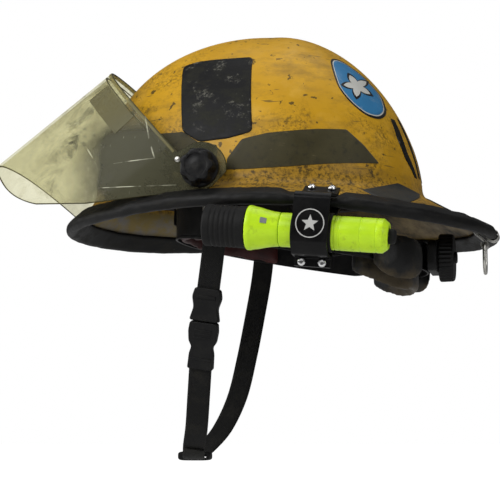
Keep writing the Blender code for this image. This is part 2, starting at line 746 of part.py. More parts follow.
def bracket_paths():
    """Middle lines of the two plates across the light: (towards the shell, up)."""
    mm = MM
    half = BRACKET_THICKNESS / 2
    outside = -(SLEEVE_RADIUS + GAP + half)
    outer = [(24.0 * mm, 37.7 * mm), (10.6 * mm, 30.1 * mm), (-9.0 * mm, 28.4 * mm),
             (outside + 3.0 * mm, 27.6 * mm), (outside, 24.4 * mm), (outside, -11.0 * mm),
             (-8.5 * mm, -18.0 * mm), (5.0 * mm, -18.4 * mm), (EAR_FACE, -19.4 * mm),
             (EAR_FACE, -26.3 * mm)]
    inside = SLEEVE_RADIUS + GAP + half
    tab = EAR_FACE + BRACKET_THICKNESS + GAP
    inner = [(37.0 * mm, 27.6 * mm), (20.3 * mm, 18.2 * mm), (inside, 15.2 * mm),
             (inside, -10.5 * mm), (13.0 * mm, -15.8 * mm), (tab, -18.8 * mm), (tab, -26.3 * mm)]
    return outer, inner


def hook_screw_place(along):
    """Frame of a screw that stands square on the sloping hook."""
    hook = Vector((24.0 - 10.6, 37.7 - 30.1)).normalized()
    normal = Vector((-hook.y, hook.x))
    spot = Vector((24.0 * MM, 37.7 * MM)) - hook * 4.2 * MM

    def place(a, u, v):
        centre = spot + normal * a + hook * v
        return Vector((along + u, centre.x, centre.y))
    return place


def ear_screw_place(along):
    """Frame of a screw that passes level through both lower ears."""
    def place(a, u, v):
        return Vector((along + u, EAR_FACE - a, -23.0 * MM + v))
    return place


def make_bracket(aluminium, rubber, chrome, frame):
    """Two bent plates clamp the brim's edge and grip the light in a rubber sleeve."""
    start, end = BRACKET_START, BRACKET_START + BRACKET_WIDTH
    mm = MM
    half = BRACKET_THICKNESS / 2
    plates = []
    for name, path in zip(("bracket_outer", "bracket_inner"), bracket_paths()):
        shape = prism(strip_outline(path, BRACKET_THICKNESS), bracket_place, start, end)
        plates.append(add_solid(name, *shape, aluminium, frame, local=True, smooth=False))
    outer, inner = plates
    points, faces = turned_loop([(start, SLEEVE_RADIUS), (end, SLEEVE_RADIUS),
                                 (end, LIGHT_RADIUS + 0.4 * mm), (start, LIGHT_RADIUS + 0.4 * mm)],
                                24, light_place)
    add_solid("light_sleeve", points, faces, rubber, frame, local=True)
    head = [(half + GAP, 1.8 * mm), (half + GAP, 3.3 * mm), (half + 1.9 * mm, 3.0 * mm),
            (half + 2.5 * mm, 1.6 * mm)]
    for k, along in enumerate((start + 6.0 * mm, end - 6.0 * mm)):
        upright, sideways = hook_screw_place(along), ear_screw_place(along)
        top = turned([(-half, 1.8 * mm)] + head, 16, upright)
        add_solid("top_screw_%d" % (k + 1), *skin_rings(top), chrome, frame, local=True)
        hole = turned([(-3.0 * mm, 2.2 * mm), (4.0 * mm, 2.2 * mm)], 16, upright)
        cut(outer, "top_hole_%d" % (k + 1), *shifted(skin_rings(hole), frame))
        side = turned([(-5.4 * mm, 1.8 * mm)] + head, 16, sideways)
        add_solid("side_screw_%d" % (k + 1), *skin_rings(side), chrome, frame, local=True)
        hole = turned([(-7.0 * mm, 2.2 * mm), (4.0 * mm, 2.2 * mm)], 16, sideways)
        for plate in (outer, inner):
            cut(plate, "side_hole_%d" % (k + 1), *shifted(skin_rings(hole), frame))


def bracket_place(u, v, d):
    return Vector((d, u, v))


def shifted(shape, frame):
    """Local points stated so that add_solid's world shift leaves them in place."""
    points, faces = shape
    return [Vector(p) + frame.location for p in points], faces


# ---------------------------------------------------------------- headband

def band_z(x):
    t = (x - (BAND_CENTRE_X - BAND_HALF_LENGTH)) / (2 * BAND_HALF_LENGTH)
    return BAND_FRONT_Z + (BAND_REAR_Z - BAND_FRONT_Z) * min(max(t, -0.1), 1.12)


def band_point(angle, offset, rear=BAND_HALF_LENGTH):
    x, y = superellipse(angle, BAND_HALF_LENGTH + offset, rear + offset,
                        BAND_HALF_WIDTH + offset, BAND_EXPONENT)
    return BAND_CENTRE_X + x, y


def band_strip(angles, offset, thickness, low, high, rear=BAND_HALF_LENGTH, level=None):
    """Curved strip standing on edge; low and high are measured from the band's middle."""
    sections = []
    for angle in angles:
        xi, yi = band_point(angle, offset, rear)
        xo, yo = band_point(angle, offset + thickness, rear)
        z = band_z(xi) if level is None else level(xi)
        sections.append([Vector((xi, yi, z + low)), Vector((xo, yo, z + low)),
                         Vector((xo, yo, z + high)), Vector((xi, yi, z + high))])
    return skin_rings(sections)


def spread(first, last, count):
    return [radians(first + (last - first) * k / (count - 1)) for k in range(count)]


def make_headband(plastic, leather, padding, webbing):
    half = BAND_HEIGHT / 2
    points, faces = band_strip(spread(52, 308, 33), 0.0, BAND_THICKNESS, -half, half)
    add_solid("headband", points, faces, plastic)
    points, faces = band_strip(spread(112, 248, 19), -7.5 * MM, 7.1 * MM, -half - 2 * MM,
                               half + 1 * MM)
    add_solid("brow_pad", points, faces, leather)
    make_crown_strap("crown_strap_long", 0.0, 0.0, webbing)
    make_crown_strap("crown_strap_cross", pi / 2, -2.4 * MM, webbing)
    make_crown_pad(padding)


def make_crown_strap(name, heading, lift, finish):
    """Webbing from one side of the headband over the head to the other."""
    half = 11.0 * MM
    thick = 1.5 * MM
    off = BAND_THICKNESS + 1.3 * MM
    top = 126.0 * MM + lift
    forward = Vector((cos(heading), sin(heading), 0))
    across = Vector((-sin(heading), cos(heading), 0))
    if abs(heading) < 0.1:
        reach = (BAND_HALF_LENGTH + off + thick / 2, CROWN_REAR_REACH)
        feet = (band_z(BAND_CENTRE_X - BAND_HALF_LENGTH), CROWN_REAR_Z)
    else:
        reach = (BAND_HALF_WIDTH + off + thick / 2,) * 2
        feet = (band_z(BAND_CENTRE_X),) * 2
    count = 22
    line = []
    for k in range(count + 1):
        t = pi * k / count
        end = 0 if t < pi / 2 else 1
        out = abs(cos(t)) ** (2 / 2.3) * (-1, 1)[end]
        rise = sin(t) ** (2 / 2.3) if 0 < k < count else 0.0
        height = feet[end] + (top - feet[end]) * rise
        line.append(Vector((BAND_CENTRE_X, 0, height)) + forward * (reach[end] * out))
    rings = []
    for k, centre in enumerate(line):
        tangent = (line[min(k + 1, count)] - line[max(k - 1, 0)]).normalized()
        normal = tangent.cross(across).normalized()
        rings.append([centre + across * half - normal * thick / 2,
                      centre + across * half + normal * thick / 2,
                      centre - across * half + normal * thick / 2,
                      centre - across * half - normal * thick / 2])
    add_solid(name, *skin_rings(rings), finish)


def make_crown_pad(finish):
    """Soft pad under the crossing of the crown straps."""
    radius, bulge, thick = 38.0 * MM, 5.0 * MM, 7.0 * MM
    top = 118.0 * MM
    profile = [(top, 0.0), (top - 0.7 * MM, radius * 0.45), (top - bulge * 0.8, radius * 0.86),
               (top - bulge - 3.5 * MM, radius), (top - bulge - thick * 0.9, radius * 0.86),
               (top - thick, radius * 0.45), (top - thick + 0.6 * MM, 0.0)]
    rings = turned(profile, 24, lambda a, u, v: Vector((BAND_CENTRE_X + u, v, a)))
    add_solid("crown_pad", *skin_rings(rings), finish)


def make_nape(plastic, padding, brass, frames):
    frame = frames["slide"]
    outside = BAND_THICKNESS + 2.6 * MM
    points, faces = band_strip(spread(-66, 66, 23), outside, BAND_THICKNESS, -12 * MM, 12 * MM,
                               NAPE_REACH, nape_level)
    add_solid("nape_strap", points, faces, plastic, frame)
    points, faces = band_strip(spread(-48, 48, 19), -11.0 * MM, 9.6 * MM, NAPE_PAD_LOW, 17 * MM,
                               NAPE_REACH, nape_level)
    add_solid("nape_pad", points, faces, padding, frame)
    back = BAND_CENTRE_X + NAPE_REACH + outside + BAND_THICKNESS + GAP
    box_profile = [(-26 * MM, -9 * MM), (-22 * MM, -13 * MM), (22 * MM, -13 * MM), (26 * MM, -9 * MM),
                   (26 * MM, 9 * MM), (22 * MM, 13 * MM), (-22 * MM, 13 * MM), (-26 * MM, 9 * MM)]
    face = KNOB_X - GAP
    bow = 1.6 * MM
    rings = []
    for start in (back + bow, face):
        rings.append([Vector((start, y, RATCHET_Z + z)) for y, z in box_profile])
    housing = add_solid("ratchet_housing", *skin_rings(rings), plastic, frame, smooth=False)
    bore = turned([(back + 3.0 * MM, 3.4 * MM), (face + 0.01, 3.4 * MM)], 20,
                  lambda a, u, v: Vector((a, u, RATCHET_Z + v)))
    cut(housing, "shaft_bore", *skin_rings(bore))
    segments = 48

    def ribbed(depth, radius, rib):
        ring = []
        for k in range(segments):
            angle = 2 * pi * k / segments
            r = radius * (1 - (rib if k % 2 else 0.0))
            ring.append(Vector((KNOB_X + depth, r * cos(angle), RATCHET_Z + r * sin(angle))))
        return ring

    rings = [ribbed(0.0, RATCHET_RADIUS * 0.97, 0.0), ribbed(1.0 * MM, RATCHET_RADIUS, 0.035),
             ribbed(11.0 * MM, RATCHET_RADIUS, 0.035), ribbed(12.2 * MM, RATCHET_RADIUS * 0.95, 0.0),
             ribbed(12.8 * MM, RATCHET_RADIUS * 0.24, 0.0), ribbed(15.2 * MM, RATCHET_RADIUS * 0.2, 0.0)]
    knob = add_solid("ratchet_knob", *skin_rings(rings), plastic, frames["knob"])
    socket = turned([(KNOB_X - 0.01, 2.9 * MM), (KNOB_X + 8.0 * MM, 2.9 * MM)], 20,
                    lambda a, u, v: Vector((a, u, RATCHET_Z + v)))
    cut(knob, "knob_socket", *skin_rings(socket))
    shaft = turned([(back + 3.4 * MM, 3.0 * MM), (KNOB_X - GAP, 3.0 * MM), (KNOB_X - GAP, 2.5 * MM),
                    (KNOB_X + 7.6 * MM, 2.5 * MM)], 16,
                   lambda a, u, v: Vector((a, u, RATCHET_Z + v)))
    add_solid("ratchet_shaft", *skin_rings(shaft), brass, frames["knob"])


def nape_level(x):
    """The nape assembly runs level behind the ears and sits at the ratchet's height."""
    start, end = 30 * MM, 110 * MM
    t = min(max((x - start) / (end - start), 0.0), 1.0)
    return band_z(start) + (RATCHET_Z - band_z(start)) * t


# ---------------------------------------------------------------- chin strap

def strap_route():
    """Middle line of the webbing on the left side, pivot to lowest point."""
    return [(-43.0, -97.5, -4.0), (-46.0, -96.5, -30.0), (-51.0, -93.0, -62.0),
            (-57.0, -86.0, -100.0), (-63.0, -72.0, -137.0), (-71.0, -48.0, -166.0),
            (-80.0, -22.0, -184.0), (-84.0, 0.0, -190.5)]


def webbing_rings(samples, half_width=WEBBING_WIDTH / 2, thickness=WEBBING_THICKNESS, shift=0.0):
    """Flat strap along a line; its width stays near the X direction."""
    rings = []
    for k, centre in enumerate(samples):
        before, after = samples[max(k - 1, 0)], samples[min(k + 1, len(samples) - 1)]
        tangent = (after - before).normalized()
        wide = (Vector((1, 0, 0)) - tangent * tangent.x).normalized()
        normal = tangent.cross(wide).normalized()
        middle = centre + normal * shift
        rings.append([middle + wide * half_width - normal * thickness / 2,
                      middle + wide * half_width + normal * thickness / 2,
                      middle - wide * half_width + normal * thickness / 2,
                      middle - wide * half_width - normal * thickness / 2])
    return rings


def oriented_box(centre, tangent, length, width, thick, chamfer):
    """Box along the strap, chamfered at its two ends."""
    wide = (Vector((1, 0, 0)) - tangent * tangent.x).normalized()
    normal = tangent.cross(wide).normalized()
    rings = []
    for along, shrink in ((-0.5, chamfer), (-0.5 + chamfer / length, 0), (0.5 - chamfer / length, 0),
                          (0.5, chamfer)):
        w, t = width / 2 - shrink, thick / 2 - shrink * 0.5
        base = centre + tangent * (along * length)
        rings.append([base + wide * w - normal * t, base + wide * w + normal * t,
                      base - wide * w + normal * t, base - wide * w - normal * t])
    return skin_rings(rings)


def pivot_place(side):
    """Frame at the strap's pivot; a runs outwards to the given side."""
    axis = Vector((STRAP_PIVOT.x, 0, STRAP_PIVOT.z))

    def place(a, u, v):
        return axis + Vector((u, side * a, v))
    return place


def make_chin_strap(webbing, plastic, steel, frame):
    left = [Vector(p) * MM for p in strap_route()]
    right = [Vector((p.x, -p.y, p.z)) for p in left[-2::-1]]
    samples = smooth_path(left + right, 56)
    buckle_start, buckle_mid, buckle_end = 7, 10, 14
    upper = samples[:buckle_start + 1]
    lower = samples[buckle_end:]
    gap = 0.4 * MM
    strap = add_solid("chin_strap_upper", *skin_rings(webbing_rings(upper)), webbing, frame)
    strap_low = add_solid("chin_strap_lower", *skin_rings(webbing_rings(lower)), webbing, frame)
    for name, first, last in (("buckle_socket", buckle_start, buckle_mid),
                              ("buckle_insert", buckle_mid, buckle_end)):
        a, b = samples[first], samples[last]
        tangent = (b - a).normalized()
        length = (b - a).length - 2 * gap
        points, faces = oriented_box((a + b) / 2, tangent, length, 25 * MM, 8 * MM, 1.2 * MM)
        add_solid(name, points, faces, plastic, frame)
    for side, strap_piece, tag in ((-1, strap, "left"), (1, strap_low, "right")):
        place = pivot_place(side)
        hole = turned([(90 * MM, 2.75 * MM), (104 * MM, 2.75 * MM)], 16, place)
        cut(strap_piece, "rivet_hole_" + tag, *skin_rings(hole))
        rivet = [(92.6 * MM, 3.0 * MM), (93.4 * MM, 5.0 * MM), (95.2 * MM, 5.0 * MM),
                 (95.2 * MM, 2.4 * MM), (104.6 * MM, 2.4 * MM)]
        add_solid("strap_rivet_" + tag, *skin_rings(turned(rivet, 16, place)), steel)
        hanger = [(-9.0 * MM, 0.0), (-6.4 * MM, -6.4 * MM), (0.0, -9.0 * MM), (6.4 * MM, -6.4 * MM),
                  (9.0 * MM, 0.0), (11.0 * MM, 30.0 * MM), (-11.0 * MM, 30.0 * MM)]
        inner_face, outer_face = 100.2 * MM, 101.8 * MM
        rings = [[place(d, u, v) for u, v in hanger] for d in (inner_face, outer_face)]
        plate = add_solid("strap_hanger_" + tag, *skin_rings(rings), steel, smooth=False)
        cut(plate, "hanger_hole_" + tag, *skin_rings(turned([(98 * MM, 2.75 * MM),
                                                             (106 * MM, 2.75 * MM)], 16, place)))
    low = samples[28]
    tangent = (samples[29] - samples[27]).normalized()
    make_slider(low, tangent, plastic, frame)


def make_slider(centre, tangent, finish, frame):
    """Rectangular webbing slider around the lowest part of the strap."""
    wide = (Vector((1, 0, 0)) - tangent * tangent.x).normalized()
    normal = tangent.cross(wide).normalized()
    outer_w, outer_t, length = 14.0 * MM, 4.0 * MM, 10.0 * MM
    hole_w, hole_t = 10.6 * MM, 2.4 * MM
    front = -10 * MM
    sections = []
    for along in (-length / 2, length / 2):
        base = centre + tangent * along
        outer = [base + wide * w + normal * t for w, t in
                 ((front - outer_w * 0.35, -outer_t), (outer_w, -outer_t), (outer_w, outer_t),
                  (front - outer_w * 0.35, outer_t))]
        hole = [base + wide * w + normal * t for w, t in
                ((-hole_w, -hole_t), (hole_w, -hole_t), (hole_w, hole_t), (-hole_w, hole_t))]
        sections.append((outer, hole))
    loops = []
    (outer_a, hole_a), (outer_b, hole_b) = sections
    for j in range(4):
        loops.append([outer_a[j], outer_b[j], hole_b[j], hole_a[j]])
    points, faces = skin_loop(loops)
    add_solid("chin_slider", points, faces, finish, frame, smooth=False)


# ---------------------------------------------------------------- hanging ring

def make_ring(steel, frame):
    """Riveted hook plate under the rear brim and the ring that hangs in it."""
    base = dome_point(0.0, pi / 2)
    edge = brim_edge(0.0)
    slope = (edge - base).normalized()
    normal = Vector((-slope.z, 0, slope.x))
    if normal.z < 0:
        normal = -normal

    def plate_point(s, n):
        p = edge + slope * s * MM + normal * n * MM
        return p.x, p.z

    centre = (RING_AXIS_X, RING_AXIS_Z)
    path = [plate_point(-38, -4.3), plate_point(-17, -4.3), plate_point(-14, -6.4)]
    reach = 2.75 * MM
    last = path[-1]
    start = atan2(last[1] - centre[1], last[0] - centre[0]) - radians(62)
    for k in range(12):
        angle = start - radians(285) * k / 11
        path.append((centre[0] + reach * cos(angle), centre[1] + reach * sin(angle)))
    outline = strip_outline(path, 1.4 * MM)
    points, faces = prism(outline, lambda u, v, d: Vector((u, d, v)), -8 * MM, 8 * MM)
    add_solid("ring_plate", points, faces, steel, smooth=False)

    half = RING_HALF_WIDTH
    drop = RING_HEIGHT - half
    route = [(y * MM, 0.0) for y in (-8.0, -4.0, 0.0, 4.0, 8.0)]
    corner = 3.0 * MM
    for k in (1, 2, 3):
        a = pi / 2 - k * pi / 8
        route.append((half - corner + corner * cos(a), -corner + corner * sin(a)))
    for k in range(0, 15):
        a = -pi * k / 14
        route.append((half * cos(a), -drop + half * sin(a)))
    for k in (3, 2, 1):
        a = pi / 2 - k * pi / 8
        route.append((-(half - corner + corner * cos(a)), -corner + corner * sin(a)))
    sections = []
    total = len(route)
    for k, (y, z) in enumerate(route):
        before, after = route[k - 1], route[(k + 1) % total]
        tangent = Vector((0, after[0] - before[0], after[1] - before[1])).normalized()
        side = Vector((1, 0, 0))
        up = tangent.cross(side)
        middle = Vector((RING_AXIS_X, y, RING_AXIS_Z + z))
        sections.append([middle + side * RING_WIRE * cos(2 * pi * j / 10)
                         + up * RING_WIRE * sin(2 * pi * j / 10) for j in range(10)])
    points, faces = skin_loop(sections)
    add_solid("hanging_ring", points, faces, steel, frame)


# ---------------------------------------------------------------- assembly

def build():
    clear_scene()
    yellow = material("shell_yellow", (0.72, 0.42, 0.06), 0.45)
    rubber = material("trim_rubber", (0.02, 0.02, 0.022), 0.7)
    foam = material("liner_foam", (0.05, 0.03, 0.03), 0.8)
    olive = material("worn_reflective", (0.11, 0.10, 0.05), 0.55)
    black = material("black_patch", (0.03, 0.03, 0.035), 0.6)
    blue = material("blue_patch", (0.05, 0.22, 0.42), 0.45)
    clear = material("shield_plastic", (0.55, 0.54, 0.33), 0.1, transmission=0.8)
    plastic = material("black_plastic", (0.03, 0.03, 0.035), 0.45)
    steel = material("plated_steel", (0.55, 0.55, 0.56), 0.3, 1.0)
    lime = material("lime_plastic", (0.55, 0.85, 0.05), 0.4)
    glass = material("lens_plastic", (0.9, 0.9, 0.9), 0.05, transmission=1.0)
    mirror = material("reflector", (0.9, 0.9, 0.9), 0.05, 1.0)
    board = material("led_board", (0.8, 0.8, 0.75), 0.5)
    cell = material("battery_wrap", (0.25, 0.27, 0.3), 0.35)
    anodised = material("black_aluminium", (0.015, 0.015, 0.017), 0.35, 0.5)
    leather = material("brow_leather", (0.10, 0.02, 0.02), 0.6)
    padding = material("pad_cloth", (0.04, 0.04, 0.045), 0.8)
    webbing = material("strap_webbing", (0.02, 0.02, 0.022), 0.75)
    brass = material("brass", (0.7, 0.55, 0.25), 0.35, 1.0)

    pivot = Vector((PIVOT_X, 0, PIVOT_Z))
    shield_frame = frame_empty("shield_axis", pivot)
    knob_frames = {side: frame_empty("knob_axis_%d" % (side + 1), pivot) for side in (-1, 1)}
    light_frames = {
        "body": frame_empty("light_axis", LIGHT_FRONT, LIGHT_SLOPE),
        "head": frame_empty("bezel_axis", LIGHT_FRONT, LIGHT_SLOPE),
        "switch": frame_empty("switch_axis", LIGHT_FRONT, LIGHT_SLOPE),
        "bracket": frame_empty("bracket_frame", LIGHT_FRONT, LIGHT_SLOPE),
    }
    ratchet = Vector((KNOB_X, 0, RATCHET_Z))
    nape_frames = {"slide": frame_empty("nape_slide", ratchet), "knob": frame_empty("ratchet_axis", ratchet)}
    strap_frame = frame_empty("strap_axis", Vector((STRAP_PIVOT.x, 0, STRAP_PIVOT.z)))
    ring_frame = frame_empty("ring_axis", Vector((RING_AXIS_X, 0, RING_AXIS_Z)))

    make_shell(yellow)
    make_trim(rubber)
    make_trim_clip(steel)
    make_liner(foam)
    make_decals(olive, black, blue)
    make_faceshield(clear, shield_frame)
    make_pivots(plastic, steel, knob_frames)
    make_light((lime, plastic, glass, mirror, board, cell, steel), light_frames)
    make_bracket(anodised, rubber, steel, light_frames["bracket"])
    make_headband(plastic, leather, padding, webbing)
    make_nape(plastic, padding, brass, nape_frames)
    make_chin_strap(webbing, plastic, steel, strap_frame)
    make_ring(steel, ring_frame)


build()
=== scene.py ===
"""Looks for the firefighter helmet: fine surfaces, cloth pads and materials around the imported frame.

Metres.  The front of the helmet points along -X, the wearer's left along -Y, +Z is up.
"""
from math import acos, atan2, cos, exp, hypot, pi, radians, sin, sqrt

import bmesh
import bpy
from mathutils import Matrix, Vector, noise


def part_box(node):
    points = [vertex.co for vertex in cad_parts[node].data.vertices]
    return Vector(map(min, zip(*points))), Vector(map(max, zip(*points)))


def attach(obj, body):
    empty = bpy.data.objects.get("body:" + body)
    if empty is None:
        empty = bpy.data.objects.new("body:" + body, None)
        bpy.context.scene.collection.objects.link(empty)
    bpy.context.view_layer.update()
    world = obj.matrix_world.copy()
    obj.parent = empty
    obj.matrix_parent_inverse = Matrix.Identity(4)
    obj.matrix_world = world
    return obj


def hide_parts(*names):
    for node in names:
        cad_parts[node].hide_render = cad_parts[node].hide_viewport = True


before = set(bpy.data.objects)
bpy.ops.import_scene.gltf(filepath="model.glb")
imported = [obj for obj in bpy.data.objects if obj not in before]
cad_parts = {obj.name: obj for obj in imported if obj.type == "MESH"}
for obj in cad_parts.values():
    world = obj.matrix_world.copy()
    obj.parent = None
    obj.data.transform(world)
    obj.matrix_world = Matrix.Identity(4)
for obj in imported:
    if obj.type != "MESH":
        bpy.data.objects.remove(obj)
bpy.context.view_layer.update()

MM = 0.001
GAP = 0.35 * MM

# ------------------------------------------------------------------ node helpers


class Finish:
    """A Principled material with short helpers for its procedural nodes."""

    def __init__(self, name, **sockets):
        self.material = bpy.data.materials.new(name)
        self.material.use_nodes = True
        self.tree = self.material.node_tree
        self.shader = self.tree.nodes["Principled BSDF"]
        for key, value in sockets.items():
            self.shader.inputs[key.replace("_", " ")].default_value = value
        self.place = self.tree.nodes.new("ShaderNodeTexCoord").outputs["Object"]
        if "Specular_IOR_Level" not in sockets:
            self.shader.inputs["Specular IOR Level"].default_value = 0.16

    def see_through(self, solid, tint):
        """Mix the surface with a clear tinted sheet; solid is how much of it covers what is behind."""
        clear = self.add("BsdfTransparent", {"Color": (*tint, 1.0)})
        blend = self.add("MixShader", {0: solid, 1: clear.outputs[0], 2: self.shader.outputs[0]})
        self.link(blend.outputs[0], self.tree.nodes["Material Output"].inputs["Surface"])

    def link(self, source, target):
        if hasattr(source, "is_linked"):
            self.tree.links.new(source, target)
        else:
            target.default_value = source

    def add(self, kind, inputs=(), **props):
        made = self.tree.nodes.new("ShaderNode" + kind)
        for key, value in props.items():
            setattr(made, key, value)
        for key, value in dict(inputs).items():
            self.link(value, made.inputs[key])
        return made

    def uv(self):
        return self.tree.nodes.new("ShaderNodeTexCoord").outputs["UV"]

    def stretch(self, vector, scale, turn=(0, 0, 0)):
        made = self.add("Mapping", {"Vector": vector, "Scale": scale, "Rotation": turn})
        return made.outputs[0]

    def noise(self, scale, detail=4.0, roughness=0.55, vector=None, distortion=0.0):
        made = self.add("TexNoise", {"Vector": vector or self.place, "Scale": scale, "Detail": detail,
                                     "Roughness": roughness, "Distortion": distortion})
        return made.outputs["Fac"]

    def cells(self, scale, vector=None, feature="F1", randomness=1.0):
        made = self.add("TexVoronoi", {"Vector": vector or self.place, "Scale": scale,
                                       "Randomness": randomness}, feature=feature)
        return made.outputs["Distance"]

    def wave(self, scale, vector=None, direction="X", distortion=0.0):
        made = self.add("TexWave", {"Vector": vector or self.place, "Scale": scale,
                                    "Distortion": distortion}, bands_direction=direction)
        return made.outputs["Fac"]

    def axis(self, which, vector=None):
        split = self.add("SeparateXYZ", {"Vector": vector or self.place})
        return split.outputs[which]

    def facing(self, which):
        geometry = self.add("NewGeometry")
        return self.add("SeparateXYZ", {"Vector": geometry.outputs["Normal"]}).outputs[which]

    def maths(self, operation, a, b=0.0, clamp=False):
        made = self.add("Math", {0: a, 1: b}, operation=operation, use_clamp=clamp)
        return made.outputs[0]

    def span(self, value, low, high, to_low=0.0, to_high=1.0):
        made = self.add("MapRange", {"Value": value, "From Min": low, "From Max": high,
                                     "To Min": to_low, "To Max": to_high}, clamp=True)
        return made.outputs[0]

    def mix(self, factor, a, b):
        made = self.add("Mix", data_type="RGBA")
        self.link(factor, made.inputs[0])
        self.link(a if hasattr(a, "is_linked") else (*a, 1.0), made.inputs[6])
        self.link(b if hasattr(b, "is_linked") else (*b, 1.0), made.inputs[7])
        return made.outputs[2]

    def colour(self, source):
        self.link(source, self.shader.inputs["Base Color"])

    def rough(self, source):
        self.link(source, self.shader.inputs["Roughness"])

    def bump(self, height, strength, distance, under=None):
        made = self.add("Bump", {"Height": height, "Strength": strength, "Distance": distance})
        if under is not None:
            self.link(under, made.inputs["Normal"])
        self.link(made.outputs[0], self.shader.inputs["Normal"])
        return made.outputs[0]


def shell_finish():
    f = Finish("worn_yellow_shell", Coat_Weight=0.06, Coat_Roughness=0.25)
    tone = f.span(f.noise(13, 5, 0.6), 0.35, 0.68)
    base = f.mix(tone, (0.600, 0.330, 0.0150), (0.470, 0.252, 0.0100))
    base = f.mix(f.span(f.noise(42, 6, 0.65), 0.52, 0.72, 0, 0.65), base, (0.60, 0.350, 0.045))
    run, rise = f.axis(0), f.axis(2)
    # grey-brown film, heaviest low on the dome, on the brim and on the front of the crown
    low = f.span(rise, 0.036, 0.054, 1, 0)
    ahead = f.span(run, -0.150, -0.085, 1, 0)
    middle = f.span(run, 0.060, 0.105, 1, 0.45)
    film = f.noise(24, 8, 0.72, f.stretch(f.place, (1, 1, 2.2)))
    heavy = f.maths("ADD", f.maths("MULTIPLY", f.maths("MULTIPLY", low, middle), 0.24),
                    f.maths("MULTIPLY", ahead, 0.07))
    film_mask = f.span(f.maths("ADD", film, heavy), 0.50, 0.68, 0, 0.62)
    base = f.mix(film_mask, base, (0.235, 0.135, 0.020))
    # dark soot in clumps of fine specks
    clumps = f.span(f.maths("ADD", f.noise(19, 5, 0.7, distortion=0.6), heavy), 0.52, 0.70)
    specks = f.span(f.noise(330, 7, 0.75), 0.46, 0.60)
    base = f.mix(f.maths("MULTIPLY", clumps, f.maths("MULTIPLY", specks, 0.85)), base, (0.030, 0.022, 0.009))
    smear = f.span(f.noise(46, 7, 0.75, f.stretch(f.place, (1, 1, 1.8))), 0.60, 0.70, 0, 0.75)
    base = f.mix(f.maths("MULTIPLY", smear, f.span(heavy, 0.02, 0.16, 0.35, 1.3)), base, (0.030, 0.021, 0.007))
    pits = f.span(f.noise(150, 3, 0.5), 0.655, 0.70)
    base = f.mix(f.maths("MULTIPLY", pits, 0.85), base, (0.05, 0.035, 0.012))
    scuff_space = f.stretch(f.place, (30, 30, 300), (0.25, 0.3, 0.0))
    scuffs = f.span(f.noise(1.0, 3, 0.55, scuff_space), 0.665, 0.70)
    base = f.mix(f.maths("MULTIPLY", scuffs, 0.7), base, (0.085, 0.062, 0.020))
    # underside, where the surface faces down: smoke stain and painted shade, with a painted reflection of the pale
    # backdrop towards the front
    under = f.span(f.facing(2), -0.25, -0.05, 1, 0)
    # stain here is the underside colour: smoke stain and painted shade together
    stain = f.mix(f.span(f.noise(30, 6, 0.7), 0.38, 0.62), (0.150, 0.100, 0.028), (0.018, 0.014, 0.007))
    # painted reflection of the pale backdrop, laid over the front of the underside
    painted_backdrop_reflection = f.mix(f.span(f.noise(22, 6, 0.7), 0.42, 0.58), (0.16, 0.155, 0.150), (0.20, 0.150, 0.050))
    stain = f.mix(f.span(run, -0.120, -0.085, 0.85, 0), stain, painted_backdrop_reflection)
    base = f.mix(under, base, stain)
    f.colour(base)
    f.rough(f.span(f.noise(60, 5, 0.6), 0.3, 0.7, 0.34, 0.60))
    first = f.bump(f.noise(420, 3, 0.5), 0.10, 0.0004)
    f.bump(f.maths("SUBTRACT", f.noise(60, 4, 0.6), f.maths("MULTIPLY", scuffs, 0.6)), 0.16, 0.0008, first)
    return f.material


def rubbed(name, dark, dust, roughness=(0.4, 0.65), amount=0.5, scale=60, grain=600, depth=0.0002, **more):
    """Dark moulded or coated surface with dust in it and rubbed, paler spots."""
    f = Finish(name, **more)
    cloud = f.noise(scale, 7, 0.7)
    fine = f.noise(scale * 9, 3, 0.6)
    mask = f.maths("MULTIPLY", f.span(cloud, 0.45, 0.72), f.span(fine, 0.35, 0.65, 0.3, 1.0))
    f.colour(f.mix(f.maths("MULTIPLY", mask, amount), dark, dust))
    f.rough(f.span(cloud, 0.3, 0.7, roughness[0], roughness[1]))
    f.bump(f.noise(grain, 3, 0.6), 0.35, depth)
    return f.material


def trim_finish():
    f = Finish("edge_trim_rubber")
    dust = f.span(f.noise(48, 7, 0.72, f.stretch(f.place, (1, 1, 3))), 0.48, 0.74, 0, 0.75)
    base = f.mix(dust, (0.0045, 0.0045, 0.0045), (0.024, 0.022, 0.018))
    marks = f.span(f.noise(260, 4, 0.6), 0.68, 0.74, 0, 0.4)
    f.colour(f.mix(marks, base, (0.09, 0.085, 0.07)))
    f.rough(f.span(dust, 0.0, 0.7, 0.50, 0.80))
    first = f.bump(f.noise(1500, 2, 0.5), 0.35, 0.0001)
    f.bump(f.noise(110, 4, 0.6), 0.35, 0.0007, first)
    return f.material


def band_finish():
    """Reflective sheeting gone olive brown with smoke, with a faint square mesh."""
    f = Finish("sooty_reflective_sheet", Sheen_Weight=0.15)
    tone = f.noise(34, 6, 0.65)
    base = f.mix(f.span(tone, 0.35, 0.7), (0.034, 0.0285, 0.0095), (0.054, 0.046, 0.018))
    dirt = f.span(f.noise(150, 6, 0.7), 0.52, 0.66, 0, 0.7)
    base = f.mix(dirt, base, (0.020, 0.018, 0.009))
    rub = f.span(f.noise(70, 5, 0.7, f.stretch(f.place, (1, 1, 4))), 0.64, 0.74, 0, 0.5)
    f.colour(f.mix(rub, base, (0.17, 0.14, 0.065)))
    f.rough(f.span(tone, 0.3, 0.7, 0.42, 0.62))
    mesh = f.cells(520, randomness=0.15)
    first = f.bump(mesh, 0.10, 0.0002)
    f.bump(f.noise(90, 4, 0.6), 0.22, 0.0006, first)
    return f.material


